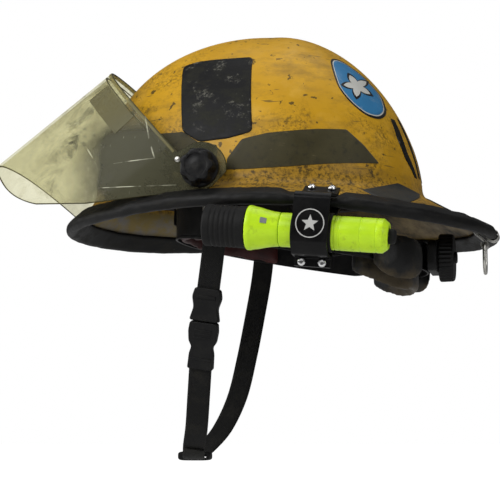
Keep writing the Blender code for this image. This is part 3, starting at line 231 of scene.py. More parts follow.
def black_patch_finish():
    f = Finish("dusty_black_sheet")
    scum = f.noise(38, 8, 0.75, f.stretch(f.place, (1, 1, 1.6)))
    base = f.mix(f.span(scum, 0.48, 0.72), (0.0050, 0.0050, 0.0055), (0.022, 0.022, 0.013))
    chalk = f.maths("MULTIPLY", f.span(f.noise(64, 7, 0.72), 0.56, 0.66), f.span(f.noise(500, 3, 0.6), 0.42, 0.6))
    base = f.mix(f.maths("MULTIPLY", chalk, 0.9), base, (0.15, 0.145, 0.12))
    f.colour(base)
    f.rough(f.span(scum, 0.3, 0.7, 0.42, 0.7))
    f.bump(f.noise(130, 5, 0.65), 0.30, 0.0006)
    return f.material


def shield_finish(name="smoked_shield", veil=(0.05, 0.17), tint=(0.912, 0.904, 0.79), film=(0.44, 0.41, 0.22),
                  soot_weight=0.95):
    """Clear sheet gone amber: a tinted see-through body with haze, clouds of soot and scratches."""
    f = Finish(name, IOR=1.45, Coat_Weight=0.05, Coat_Roughness=0.08, Specular_IOR_Level=0.12)
    haze = f.noise(13, 6, 0.65, distortion=0.5)
    run, rise = f.axis(0), f.axis(2)
    # soot gathers from the middle of the sheet back to the knobs
    there = f.maths("MULTIPLY", f.span(run, -0.225, -0.150, 0.10, 1.0), f.span(rise, 0.085, 0.160, 1.0, 0.35))
    blot = f.span(f.noise(40, 10, 0.78, distortion=0.6), 0.46, 0.60)
    dots = f.span(f.noise(90, 10, 0.85), 0.44, 0.56, 0.30, 1.0)
    soot = f.maths("MULTIPLY", f.maths("MULTIPLY", blot, dots), f.maths("MULTIPLY", there, soot_weight))
    deep = f.maths("MULTIPLY", f.span(run, -0.172, -0.130), f.span(rise, 0.070, 0.098, 1, 0))
    deep = f.maths("MULTIPLY", deep, f.span(f.noise(14, 9, 0.75), 0.32, 0.54, 0.45, 1.0))
    soot = f.maths("MAXIMUM", soot, f.maths("MULTIPLY", deep, soot_weight))
    edges = f.cells(17, f.stretch(f.place, (1.0, 0.7, 1.6), (0.0, 0.7, 0.0)), "DISTANCE_TO_EDGE")
    lines = f.maths("MULTIPLY", f.span(edges, 0.004, 0.010, 1, 0), f.span(f.noise(30, 4, 0.6), 0.50, 0.60))
    fine = f.span(f.noise(0.7, 2, 0.4, f.stretch(f.place, (700, 700, 26), (0.0, 0.85, 0.0))), 0.74, 0.76, 0, 0.3)
    lines = f.maths("MAXIMUM", lines, fine)
    base = f.mix(f.span(haze, 0.35, 0.65), film, tuple(c * 0.7 for c in film))
    base = f.mix(f.maths("MULTIPLY", soot, 1.3, True), base, (0.060, 0.058, 0.032))
    f.colour(f.mix(f.maths("MULTIPLY", lines, 0.7), base, (0.80, 0.79, 0.60)))
    cover = f.maths("ADD", f.span(haze, 0.34, 0.68, veil[0], veil[1]), f.maths("MULTIPLY", soot, 0.86))
    cover = f.maths("ADD", cover, f.maths("MULTIPLY", lines, 0.07), clamp=True)
    f.rough(f.maths("ADD", f.span(haze, 0.3, 0.7, 0.14, 0.30), f.maths("MULTIPLY", soot, 0.35)))
    f.bump(f.maths("ADD", f.noise(16, 3, 0.5), f.maths("MULTIPLY", lines, 0.2)), 0.12, 0.0010)
    f.see_through(cover, tint)
    return f.material


def lime_finish():
    f = Finish("lime_housing", Coat_Weight=0.25, Coat_Roughness=0.25)
    tone = f.noise(50, 5, 0.6)
    base = f.mix(f.span(tone, 0.35, 0.7), (0.56, 0.84, 0.018), (0.45, 0.72, 0.014))
    grime = f.maths("MULTIPLY", f.span(f.noise(120, 6, 0.7), 0.55, 0.70), 0.5)
    f.colour(f.mix(grime, base, (0.20, 0.30, 0.015)))
    f.rough(f.span(tone, 0.3, 0.7, 0.30, 0.46))
    f.bump(f.noise(800, 2, 0.5), 0.15, 0.0001)
    return f.material


def metal_finish(name, colour, roughness=(0.22, 0.42), tarnish=0.35):
    f = Finish(name, Metallic=1.0)
    cloud = f.noise(170, 6, 0.7)
    f.colour(f.mix(f.maths("MULTIPLY", f.span(cloud, 0.45, 0.7), tarnish), colour,
                   tuple(c * 0.35 for c in colour)))
    f.rough(f.span(cloud, 0.3, 0.7, roughness[0], roughness[1]))
    f.bump(f.noise(1.0, 2, 0.5, f.stretch(f.place, (300, 2400, 300))), 0.12, 0.0001)
    return f.material


def webbing_finish():
    """Nylon webbing: ribs along the strap crossed by a fine weft, read from the strap's own lengths."""
    f = Finish("nylon_webbing", Sheen_Weight=0.06, Sheen_Roughness=0.4)
    run = f.uv()
    along, across = f.axis(0, run), f.axis(1, run)
    rib = f.maths("SINE", f.maths("MULTIPLY", across, 2 * pi / 0.0021))
    phase = f.maths("MULTIPLY", f.maths("SIGN", rib), pi / 2)
    weft = f.maths("SINE", f.maths("ADD", f.maths("MULTIPLY", along, 2 * pi / 0.0017), phase))
    weave = f.maths("ADD", f.maths("MULTIPLY", f.maths("ABSOLUTE", rib), 0.6), f.maths("MULTIPLY", weft, 0.4))
    dust = f.span(f.noise(55, 6, 0.7), 0.5, 0.72, 0, 0.6)
    base = f.mix(f.span(weave, -0.4, 1.0), (0.0022, 0.0022, 0.0022), (0.0080, 0.0080, 0.0075))
    f.colour(f.mix(dust, base, (0.022, 0.020, 0.015)))
    f.rough(f.span(weave, -0.4, 1.0, 0.85, 0.6))
    f.bump(weave, 0.55, 0.0003)
    return f.material


def cloth_finish(name, thread, deep, stain, scale=1500, dirty=0.5, low_stain=False):
    f = Finish(name, Sheen_Weight=0.12, Sheen_Roughness=0.4, Coat_Weight=0.2, Coat_Roughness=0.3)
    weave_a = f.wave(scale / 6.28 * 2, f.place, "X", 0.4)
    weave_b = f.wave(scale / 6.28 * 2, f.place, "Z", 0.4)
    weave = f.maths("MULTIPLY", weave_a, weave_b)
    cloud = f.noise(26, 7, 0.7)
    base = f.mix(weave, deep, thread)
    if low_stain:
        cloud = f.maths("ADD", cloud, f.span(f.axis(2), -0.050, -0.036, 0.22, -0.05))
    f.colour(f.mix(f.maths("MULTIPLY", f.span(cloud, 0.47, 0.66), dirty), base, stain))
    f.rough(f.span(cloud, 0.3, 0.7, 0.42, 0.80))
    first = f.bump(weave, 0.25, 0.0002)
    f.bump(f.noise(75, 5, 0.6), 0.35, 0.0016, first)
    return f.material


def leather_finish():
    f = Finish("maroon_leather", Coat_Weight=0.15, Coat_Roughness=0.4)
    grain = f.cells(620)
    tone = f.noise(40, 6, 0.65)
    base = f.mix(f.span(tone, 0.35, 0.65), (0.050, 0.010, 0.009), (0.024, 0.007, 0.007))
    f.colour(f.mix(f.span(f.noise(110, 5, 0.7), 0.6, 0.72, 0, 0.4), base, (0.11, 0.06, 0.045)))
    f.rough(f.span(tone, 0.3, 0.7, 0.40, 0.60))
    first = f.bump(grain, 0.30, 0.0002)
    f.bump(f.noise(60, 4, 0.6), 0.3, 0.0010, first)
    return f.material


def foam_finish():
    f = Finish("liner_foam")
    beads = f.cells(330)
    f.colour(f.mix(f.span(beads, 0.1, 0.6), (0.030, 0.024, 0.022), (0.012, 0.010, 0.010)))
    f.rough(f.span(f.noise(40), 0.3, 0.7, 0.75, 0.92))
    f.bump(beads, 0.35, 0.0004)
    return f.material


def patch_finish(name, colour, worn):
    """Printed vinyl with scuffs that show the sheet below the ink."""
    f = Finish(name, Coat_Weight=0.3, Coat_Roughness=0.2)
    scuff = f.maths("MULTIPLY", f.span(f.noise(70, 6, 0.7), 0.56, 0.68), f.span(f.noise(700, 3, 0.6), 0.4, 0.6))
    tone = f.mix(f.span(f.noise(24, 4, 0.6), 0.3, 0.7), colour, tuple(c * 0.78 for c in colour))
    f.colour(f.mix(f.maths("MULTIPLY", scuff, 0.6), tone, worn))
    f.rough(f.span(f.noise(50, 5, 0.6), 0.3, 0.7, 0.30, 0.5))
    f.bump(f.noise(140, 4, 0.6), 0.18, 0.0004)
    return f.material


# ------------------------------------------------------------------ mesh helpers

def build_mesh(name, points, faces, finish, body, slot, replaces=(), smooth=True, angle=38, uvs=None):
    mesh = bpy.data.meshes.new(name)
    mesh.from_pydata([tuple(p) for p in points], [], faces)
    if uvs is not None:
        layer = mesh.uv_layers.new(name="UVMap")
        for loop in mesh.loops:
            layer.data[loop.index].uv = uvs[loop.vertex_index]
    work = bmesh.new()
    work.from_mesh(mesh)
    bmesh.ops.recalc_face_normals(work, faces=work.faces)
    work.to_mesh(mesh)
    work.free()
    mesh.materials.append(finish)
    if smooth:
        mesh.shade_smooth()
        mesh.set_sharp_from_angle(angle=radians(angle))
    made = bpy.data.objects.new(name, mesh)
    bpy.context.scene.collection.objects.link(made)
    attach(made, body)
    if replaces:
        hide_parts(*replaces)
    return made


def add_bevel(obj, width, segments=2, angle=30):
    made = obj.modifiers.new("edge", 'BEVEL')
    made.width = width
    made.segments = segments
    made.limit_method = 'ANGLE'
    made.angle_limit = radians(angle)
    made.harden_normals = False
    return obj


def skin_rings(rings, closed=True, cap_start=True, cap_end=True):
    points, starts, faces = [], [], []
    for ring in rings:
        starts.append(len(points))
        points.extend(ring)
    for k in range(len(rings) - 1):
        first, second = rings[k], rings[k + 1]
        a, b = starts[k], starts[k + 1]
        count = max(len(first), len(second))
        for j in range(count if closed else count - 1):
            n = (j + 1) % count
            if len(first) == 1:
                faces.append((a, b + n, b + j))
            elif len(second) == 1:
                faces.append((a + j, a + n, b))
            else:
                faces.append((a + j, a + n, b + n, b + j))
    if cap_start and len(rings[0]) > 1:
        faces.append(tuple(reversed(range(starts[0], starts[0] + len(rings[0])))))
    if cap_end and len(rings[-1]) > 1:
        faces.append(tuple(range(starts[-1], starts[-1] + len(rings[-1]))))
    return points, faces


def skin_loop(sections):
    count, total = len(sections[0]), len(sections)
    points = [p for section in sections for p in section]
    faces = []
    for k in range(total):
        a, b = k * count, ((k + 1) % total) * count
        for j in range(count):
            n = (j + 1) % count
            faces.append((a + j, a + n, b + n, b + j))
    return points, faces


def turned(profile, segments, place):
    rings = []
    for along, radius in profile:
        if radius == 0.0:
            rings.append([place(along, 0.0, 0.0)])
        else:
            rings.append([place(along, radius * cos(2 * pi * k / segments), radius * sin(2 * pi * k / segments))
                          for k in range(segments)])
    return rings


def turned_loop(profile, segments, place):
    return skin_loop([[place(a, r * cos(2 * pi * k / segments), r * sin(2 * pi * k / segments))
                       for a, r in profile] for k in range(segments)])


def soften(profile, cut=0.5 * MM, closed=False):
    """Round the corners of a profile of pairs."""
    made = []
    count = len(profile)
    for k, point in enumerate(profile):
        if not closed and k in (0, count - 1):
            made.append(point)
            continue
        here = Vector(point)
        before, after = Vector(profile[k - 1]), Vector(profile[(k + 1) % count])
        a = here + (before - here).normalized() * min(cut, (before - here).length * 0.4)
        b = here + (after - here).normalized() * min(cut, (after - here).length * 0.4)
        for t in (0.0, 0.33, 0.67, 1.0):
            p = a * (1 - t) ** 2 + here * (2 * t * (1 - t)) + b * t ** 2
            made.append((p.x, p.y))
    return made


def strip_outline(path, thickness):
    left, right = [], []
    for k, (u, v) in enumerate(path):
        before, after = path[max(k - 1, 0)], path[min(k + 1, len(path) - 1)]
        if 0 < k < len(path) - 1:
            d1 = Vector((u - before[0], v - before[1])).normalized()
            d2 = Vector((after[0] - u, after[1] - v)).normalized()
            bisector = (d1 + d2).normalized()
            reach = thickness / 2 / max(bisector.dot(d1), 0.4)
        else:
            bisector = Vector((after[0] - before[0], after[1] - before[1])).normalized()
            reach = thickness / 2
        side = Vector((-bisector.y, bisector.x)) * reach
        left.append((u + side.x, v + side.y))
        right.append((u - side.x, v - side.y))
    return left + right[::-1]


def smooth_path(points, count):
    points = [Vector(p) for p in points]
    ends = [points[0] * 2 - points[1]] + points + [points[-1] * 2 - points[-2]]
    spans = len(points) - 1
    samples = []
    for k in range(count + 1):
        along = spans * k / count
        i = min(int(along), spans - 1)
        t = along - i
        a, b, c, d = ends[i:i + 4]
        samples.append(0.5 * (2 * b + (c - a) * t + (2 * a - 5 * b + 4 * c - d) * t ** 2
                              + (3 * b - a - 3 * c + d) * t ** 3))
    return samples


# ------------------------------------------------------------------ shell surface

DOME_CENTRE_X = -10.7 * MM
DOME_FRONT, DOME_REAR, DOME_HALF_WIDTH = 160.3 * MM, 127.0 * MM, 113.0 * MM
DOME_BASE_Z, DOME_HEIGHT = 30.0 * MM, 147.4 * MM
SHELL_THICKNESS = 3.0 * MM
BRIM_CENTRE_X, BRIM_FRONT_X, BRIM_REAR_X = -5.0 * MM, -193.2 * MM, 176.0 * MM
BRIM_HALF_WIDTH = 146.0 * MM
FILLET = 10.0 * MM


def superellipse(angle, front, rear, half_width, exponent):
    c, s = cos(angle), sin(angle)
    reach = front if c < 0 else rear
    scale = (abs(c / reach) ** exponent + abs(s / half_width) ** exponent) ** (-1 / exponent)
    return scale * c, scale * s


def profile_exponent(angle):
    forward = cos(angle) ** 2 if cos(angle) < 0 else 0.0
    return 2.27 * forward + 1.84 * (1 - forward)


def dome_point(angle, rise, inset=0.0):
    x, y = superellipse(angle, DOME_FRONT - inset, DOME_REAR - inset, DOME_HALF_WIDTH - inset, 2.25)
    m = profile_exponent(angle)
    out = sin(rise) ** (2 / m)
    up = max(cos(rise), 0.0) ** (2 / m)
    return Vector((DOME_CENTRE_X + x * out, y * out, DOME_BASE_Z + (DOME_HEIGHT - inset) * up))


def brim_edge(angle):
    x, y = superellipse(angle, BRIM_CENTRE_X - BRIM_FRONT_X, BRIM_REAR_X - BRIM_CENTRE_X, BRIM_HALF_WIDTH, 2.11)
    x += BRIM_CENTRE_X
    t = min(max((x - BRIM_FRONT_X) / (BRIM_REAR_X - BRIM_FRONT_X), 0.0), 1.0)
    return Vector((x, y, (6.6 - 9.6 * t + 10.4 * sin(pi * t) ** 1.5) * MM))


def brim_axes(angle):
    slope = (brim_edge(angle) - dome_point(angle, pi / 2)).normalized()
    tangent = (brim_edge(angle + 1e-3) - brim_edge(angle - 1e-3)).normalized()
    normal = slope.cross(tangent).normalized()
    return slope, (normal if normal.z > 0 else -normal)


def brim_offset(angle, outward, upward):
    slope, normal = brim_axes(angle)
    return brim_edge(angle) + slope * outward + normal * upward


def shell_column(angle, domes=36, brims=10):
    """Outer profile of the shell, crown side first."""
    last = acos((FILLET / DOME_HEIGHT) ** (profile_exponent(angle) / 2))
    points = [dome_point(angle, last * (k / domes) ** 0.9) for k in range(1, domes + 1)]
    base = dome_point(angle, pi / 2)
    slope, _ = brim_axes(angle)
    upper, lower = points[-1], base + slope * FILLET
    for k in range(1, 9):
        t = k / 8
        points.append(upper * (1 - t) ** 2 + base * (2 * t * (1 - t)) + lower * t ** 2)
    edge = brim_edge(angle) + slope * MM
    points += [lower.lerp(edge, k / brims) for k in range(1, brims + 1)]
    return points


def stations(count):
    return [2 * pi * (k + 0.5) / count for k in range(count)]


def offset_rings(rings, crown, depth):
    made = []
    count = len(rings[0])
    for i, ring in enumerate(rings):
        above = rings[i - 1] if i > 0 else [crown] * count
        below = rings[min(i + 1, len(rings) - 1)]
        row = []
        for j in range(count):
            across, down = ring[(j + 1) % count] - ring[j - 1], below[j] - above[j]
            normal = across.cross(down).normalized()
            if normal.dot(ring[j] - Vector((DOME_CENTRE_X, 0, -0.2))) < 0:
                normal = -normal
            row.append(ring[j] - normal * depth)
        made.append(row)
    return made


def surface_at(x, z, side):
    low, high = 0.0, 0.13
    dx = x - DOME_CENTRE_X
    reach = DOME_FRONT if dx < 0 else DOME_REAR
    for _ in range(34):
        y = (low + high) / 2
        out = (abs(dx / reach) ** 2.25 + (y / DOME_HALF_WIDTH) ** 2.25) ** (1 / 2.25)
        m = profile_exponent(atan2(y, dx))
        up = max(z - DOME_BASE_Z, 0.0) / DOME_HEIGHT
        low, high = (y, high) if out ** m + up ** m < 1 else (low, y)
    return Vector((x, side * low, z))


def surface_normal(x, z, side):
    step = 1.5 * MM
    across = surface_at(x + step, z, side) - surface_at(x - step, z, side)
    upward = surface_at(x, z + step, side) - surface_at(x, z - step, side)
    normal = across.cross(upward).normalized()
    return normal if normal.y * side > 0 else -normal


def around_at(angle, z, lift):
    """Point lifted off the shell at a heading and height; below the dome it follows the brim."""
    if z >= DOME_BASE_Z + FILLET:
        m = profile_exponent(angle)
        rise = acos(((z - DOME_BASE_Z) / DOME_HEIGHT) ** (m / 2))
        here = dome_point(angle, rise)
        up = dome_point(angle, rise - 0.01) - dome_point(angle, rise + 0.01)
    else:
        column = shell_column(angle, 3, 10)
        here, up = column[-1], column[-2] - column[-1]
        for a, b in zip(column, column[1:]):
            if a.z >= z >= b.z and a.z > b.z:
                here, up = a.lerp(b, (a.z - z) / (a.z - b.z)), a - b
                break
    tangent = brim_edge(angle + 0.01) - brim_edge(angle - 0.01)
    normal = up.cross(tangent).normalized()
    if normal.dot(here - Vector((DOME_CENTRE_X, 0, -0.1))) < 0:
        normal = -normal
    return here + normal * lift


def round_outline(corners, radius, spacing):
    """Closed outline through a few corners, rounded and evenly resampled."""
    raw = []
    count = len(corners)
    for k in range(count):
        here = Vector(corners[k])
        before, after = Vector(corners[k - 1]), Vector(corners[(k + 1) % count])
        a = here + (before - here).normalized() * min(radius, (before - here).length * 0.45)
        b = here + (after - here).normalized() * min(radius, (after - here).length * 0.45)
        raw += [a * (1 - t) ** 2 + here * (2 * t * (1 - t)) + b * t ** 2 for t in (0, 0.25, 0.5, 0.75, 1)]
    made = []
    for k, a in enumerate(raw):
        b = raw[(k + 1) % len(raw)]
        pieces = max(int((b - a).length / spacing), 1)
        made += [a.lerp(b, i / pieces) for i in range(pieces)]
    return made


def sheet_on_shell(name, outline, place, finish, slot, replaces=(), lift=0.5, rings=14, body="helmet", base=-0.15):
    """Thin stuck sheet: an outline filled towards its middle, with a turned-down edge."""
    centre = sum(outline, Vector((0, 0))) / len(outline)
    rows = []
    for k in range(rings, 0, -1):
        rows.append([place(*(centre.lerp(p, k / rings)), lift * MM) for p in outline])
    rim = [place(*(centre.lerp(p, 1.004)), (lift - 0.12) * MM) for p in outline]
    foot = [place(*(centre.lerp(p, 1.006)), base * MM) for p in outline]
    points, faces = skin_rings([foot, rim] + rows + [[place(*centre, lift * MM)]], cap_start=False)
    return build_mesh(name, points, faces, finish, body, slot, replaces, angle=50)


# ------------------------------------------------------------------ shell pieces

def make_shell(finish):
    columns = [shell_column(angle) for angle in stations(224)]
    rings = [[column[i] for column in columns] for i in range(len(columns[0]))]
    crown = Vector((DOME_CENTRE_X, 0, DOME_BASE_Z + DOME_HEIGHT))
    inner = offset_rings(rings, crown, SHELL_THICKNESS)
    under = crown - Vector((0, 0, SHELL_THICKNESS))
    points, faces = skin_rings([[crown]] + rings + inner[::-1] + [[under]])
    build_mesh("shell_skin", points, faces, finish, "helmet", "shell_yellow", ("shell",), angle=50)


def trim_swell(angle):
    """How full the rubber channel stands: pressed flat under the light's clamp and the ring's plate."""
    edge = brim_edge(angle)
    clamp = 1.0 if edge.y < 0 else 0.0
    near_clamp = clamp * exp(-(max(abs(edge.x - 49 * MM) - 19 * MM, 0) / (5 * MM)) ** 2)
    near_ring = exp(-(max(abs(edge.y) - 10 * MM, 0) / (5 * MM)) ** 2) if edge.x > 0 else 0.0
    return 1 - max(near_clamp, near_ring)


def make_trim(finish):
    sections = []
    for angle in stations(480):
        full = trim_swell(angle)
        wall, tip = (1.8 + 1.9 * full) * MM, (5.0 + 0.6 * full) * MM
        back = -(11.0 + 4.5 * full) * MM
        top, bottom = 0.2 * MM, -SHELL_THICKNESS - 0.2 * MM
        low_wall = (1.8 + 1.2 * full) * MM
        outline = soften([
            (back, top), (back, top + wall * 0.55), (back + 1.6 * MM, top + wall * 0.9), (-3 * MM, top + wall * 1.02),
            (2.4 * MM, top + wall * 0.95), (tip, 0.4 * MM), (tip, bottom - 0.6 * MM), (2.4 * MM, bottom - low_wall),
            (-3 * MM, bottom - low_wall * 1.02), (back + 1.2 * MM, bottom - low_wall), (back, bottom - low_wall * 0.6),
            (back, bottom), (1.5 * MM, bottom), (1.5 * MM, top)], 1.8 * MM, closed=True)
        around = Vector((cos(angle), sin(angle), 0))
        ring = []
        for s, n in outline:
            wave = noise.noise(around * 11 + Vector((s * 60, n * 60, 3))) * 0.9 * MM * full
            wave += noise.noise(around * 34 + Vector((s * 120, n * 120, 9))) * 0.35 * MM * full
            grow = 0.0 if bottom - 0.1 * MM <= n <= top + 0.1 * MM and s < tip - MM else wave
            ring.append(brim_offset(angle, s + grow * 0.5, n + (grow if n > -1.5 * MM else -grow * 0.4)))
        sections.append(ring)
    points, faces = skin_loop(sections)
    build_mesh("trim_channel", points, faces, finish, "helmet", "trim_rubber", ("edge_trim",), angle=60)


def make_liner(finish):
    around = stations(96)
    levels = [k / 20 for k in range(1, 21)]
    last = 0.97 * pi / 2
    outer = [[dome_point(a, last * t, 8 * MM) for a in around] for t in levels]
    inner = [[dome_point(a, last * t, 20 * MM) for a in around] for t in levels]
    top = DOME_BASE_Z + DOME_HEIGHT
    points, faces = skin_rings([[Vector((DOME_CENTRE_X, 0, top - 8 * MM))]] + outer + inner[::-1]
                               + [[Vector((DOME_CENTRE_X, 0, top - 20 * MM))]])
    build_mesh("foam_bowl", points, faces, finish, "helmet", "liner_foam", ("impact_liner",), angle=50)


def make_clip(finish):
    high, wall, tip, back = 2.55 * MM, 0.9 * MM, 5.45 * MM, -3.0 * MM
    low = -SHELL_THICKNESS - high
    path = [(back, high + wall / 2), (tip * 0.6, high + wall / 2), (tip + wall / 2, 0.2 * MM),
            (tip + wall / 2, low + high - 0.2 * MM), (tip * 0.6, low - wall / 2), (back, low - wall / 2)]
    outline = strip_outline(soften(path, 1.2 * MM), wall)
    rings = [[brim_offset(o, s, n) for s, n in outline] for o in (-0.042, -0.02, 0, 0.02, 0.042)]
    add_bevel(build_mesh("trim_crimp", *skin_rings(rings), finish, "helmet", "plated_steel", ("trim_clip",)),
              0.2 * MM)


def make_sheets(olive, black, grey, inks):
    for side, tag in ((-1, "left"), (1, "right")):
        def place(x, z, lift, side=side):
            return surface_at(x, z, side) + surface_normal(x, z, side) * lift
        corners = [(-18.5, 66), (2, 70.4), (40, 73.5), (64, 74.3), (77, 62), (88.7, 47.5), (60, 45), (21, 41.6),
                   (-10, 40.6), (-31, 40.6), (-30, 50)]
        outline = round_outline([Vector(c) * MM for c in corners], 1.6 * MM, 2.0 * MM)
        sheet_on_shell("band_sheet_" + tag, outline, place, olive, "worn_reflective",
                       ("reflective_band_" + tag,), 0.45)

        def heading(a, z, lift, side=side):
            return around_at(side * a, z, lift)

        def stuck(name, spots, finish, slot, node=None, lift=0.4, rings=10, heading=heading):
            outline = round_outline([Vector((radians(a), z * MM)) for a, z in spots], 0.006, 0.014)
            sheet_on_shell(name, outline, heading, finish, slot, (node,) if node else (), lift, rings)

        stuck("front_sheet_" + tag, [(105, 62), (113, 65.3), (120.5, 75.5), (140, 77), (168, 78), (168, 42), (140, 41.5),
                                     (120, 41), (104, 41)], olive, "worn_reflective", "front_band_" + tag, 0.4, 22)
        stuck("rear_lozenge_" + tag, [(49.5, 21.5), (28.5, 33.0), (15.5, 27.5), (37.5, 11.5), (47.5, 12.5)], grey,
              "worn_reflective")
        stuck("rear_stripe_" + tag, [(21.2, 92), (22.3, 74), (19.8, 57), (13.0, 43.2), (9.5, 43.2), (15.4, 57),
                                     (17.6, 74), (17.4, 92)], black, "worn_reflective")
        stuck("rear_inner_stripe_" + tag, [(12.0, 96), (10.6, 74), (6.2, 45), (3.2, 45), (6.2, 74), (8.4, 96)], black,
              "worn_reflective")
        if side < 0:
            stuck("rear_brim_sheet", [(17, 23), (2, 23), (-12, 23), (-14, 6), (3, 4.5), (19, 6)], black,
                  "worn_reflective")

    def near(x, z, lift):
        return surface_at(x, z, -1) + surface_normal(x, z, -1) * lift
    corners = [(-80, 140.7), (-67, 144), (-19, 145), (-10.5, 72.5), (-30, 67.5), (-55, 65.8), (-70.5, 76)]
    outline = round_outline([Vector(c) * MM for c in corners], 4 * MM, 1.6 * MM)
    sheet_on_shell("square_sheet", outline, near, black, "black_patch", ("square_patch_left",), 0.6, 24)

    # a plain star on an egg-shaped sticker, in place of a printed figure
    egg = [(44.2, 145.5), (52, 145.5), (69, 133), (86.5, 113), (92, 96), (88.6, 87.9), (79, 88.6), (68.4, 97),
           (60, 106.8), (54.5, 115.4), (49.5, 129.2)]
    outline = round_outline([Vector(c) * MM for c in egg], 7 * MM, 1.1 * MM)
    centre = sum(outline, Vector((0, 0))) / len(outline)
    layers = [("oval_edge", inks["black"], 1.0, 0.45), ("oval_line", inks["white"], 0.93, 0.60),
              ("oval_field", inks["blue"], 0.895, 0.75)]
    for name, ink, grow, lift in layers:
        replaced = ("oval_patch_left",) if name == "oval_edge" else ()
        shape = [centre.lerp(p, grow) for p in outline]
        sheet_on_shell(name, shape, near, ink, "blue_patch", replaced, lift, 12)
    across, along = Vector((0.72, 0.42)) * 13.5 * MM, Vector((-0.50, 0.78)) * 17 * MM

    def star(k, grow):
        a = 2 * pi * k / 60
        r = grow * (0.42 + 0.58 * abs((k % 12) / 6 - 1))
        return centre + across * (r * sin(a)) + along * (r * cos(a))

    sheet_on_shell("oval_star_edge", [star(k, 1.0) for k in range(60)], near, inks["black"], "blue_patch", (), 0.90, 8)
    sheet_on_shell("oval_star", [star(k, 0.80) for k in range(60)], near, inks["white"], "blue_patch", (), 1.05, 8)


# ------------------------------------------------------------------ faceshield

PIVOT = Vector((-48.8 * MM, 0, 39.8 * MM))
RAISE = radians(45.8)
HALF, REACH, FLARE, DROP = 126.5 * MM, 150.3 * MM, 0.136, 130.5 * MM
STRAIGHT, WING_EXPONENT, EDGE_SLOPE = 10.0 * MM, 2.2, 1.185
TAB, TAB_LOW = 21.5 * MM, 17.7 * MM


def shield_place(reach, drop, y):
    return Vector((PIVOT.x - reach * cos(RAISE) - drop * sin(RAISE), y,
                   PIVOT.z + reach * sin(RAISE) - drop * cos(RAISE)))


def shield_top(u):
    line = 5.0 * MM * (1 - u / REACH)
    if abs(u) < TAB:
        arc = -sqrt(TAB ** 2 - u ** 2)
        return min(line, arc)
    return line


def shield_bottom(u):
    start_u, knee_u, end_u = 58.0 * MM, 84.0 * MM, 118.0 * MM
    start_p = TAB_LOW * hypot(1, EDGE_SLOPE) + start_u * EDGE_SLOPE
    if u >= end_u:
        return DROP
    if u > start_u:
        low, high = 0.0, 1.0
        for _ in range(30):
            t = (low + high) / 2
            here = start_u * (1 - t) ** 2 + knee_u * 2 * t * (1 - t) + end_u * t ** 2
            low, high = (t, high) if here < u else (low, t)
        return start_p * (1 - t) ** 2 + DROP * (2 * t * (1 - t) + t ** 2)
    if u > -TAB_LOW * EDGE_SLOPE / hypot(1, EDGE_SLOPE):
        return start_p + (u - start_u) * EDGE_SLOPE
    return sqrt(max(TAB_LOW ** 2 - u ** 2, (1.5 * MM) ** 2))


def wing_reach(p):
    return REACH - STRAIGHT + FLARE * p


def wing_half(u, p):
    if u <= STRAIGHT:
        return HALF
    along = min((u - STRAIGHT) / wing_reach(p), 1.0)
    return HALF * (1 - along ** WING_EXPONENT) ** (1 / WING_EXPONENT)


def wing_normal(u, p, y):
    if u <= STRAIGHT:
        return Vector((0, 1))
    n = WING_EXPONENT - 1
    along = ((u - STRAIGHT) / wing_reach(p)) ** n / wing_reach(p)
    across = (max(y, 0) / HALF) ** n / HALF
    return Vector((along, across)).normalized()


def shield_columns():
    stops = [(-17.4 + 67.4 * (k / 34) ** 1.15) * MM for k in range(35)]
    half = [(u, None) for u in stops] + [(None, radians(64 - 64 * k / 44)) for k in range(45)]
    return [(-1, c) for c in half] + [(1, c) for c in half[-2::-1]]


def shield_point(column, t, lift, top_shift=0.0):
    """Point on the sheet at a fraction t of the way down a column, lifted off its middle."""
    side, (length, bend) = column
    if length is not None:
        u = length
        p = shield_top(u) * (1 - t) + shield_bottom(u) * t
    else:
        forward = cos(bend) ** (2 / WING_EXPONENT)
        top_u = STRAIGHT + (REACH - STRAIGHT) * forward
        p = shield_top(top_u) * (1 - t) + shield_bottom(top_u * 1.05) * t
        u = STRAIGHT + wing_reach(p) * forward
    p += top_shift
    if length is None:
        u = STRAIGHT + wing_reach(p) * cos(bend) ** (2 / WING_EXPONENT)
    y = wing_half(u, p)
    lean = wing_normal(u, p, y) * lift
    return shield_place(u + lean.x, p, side * (y + lean.y))


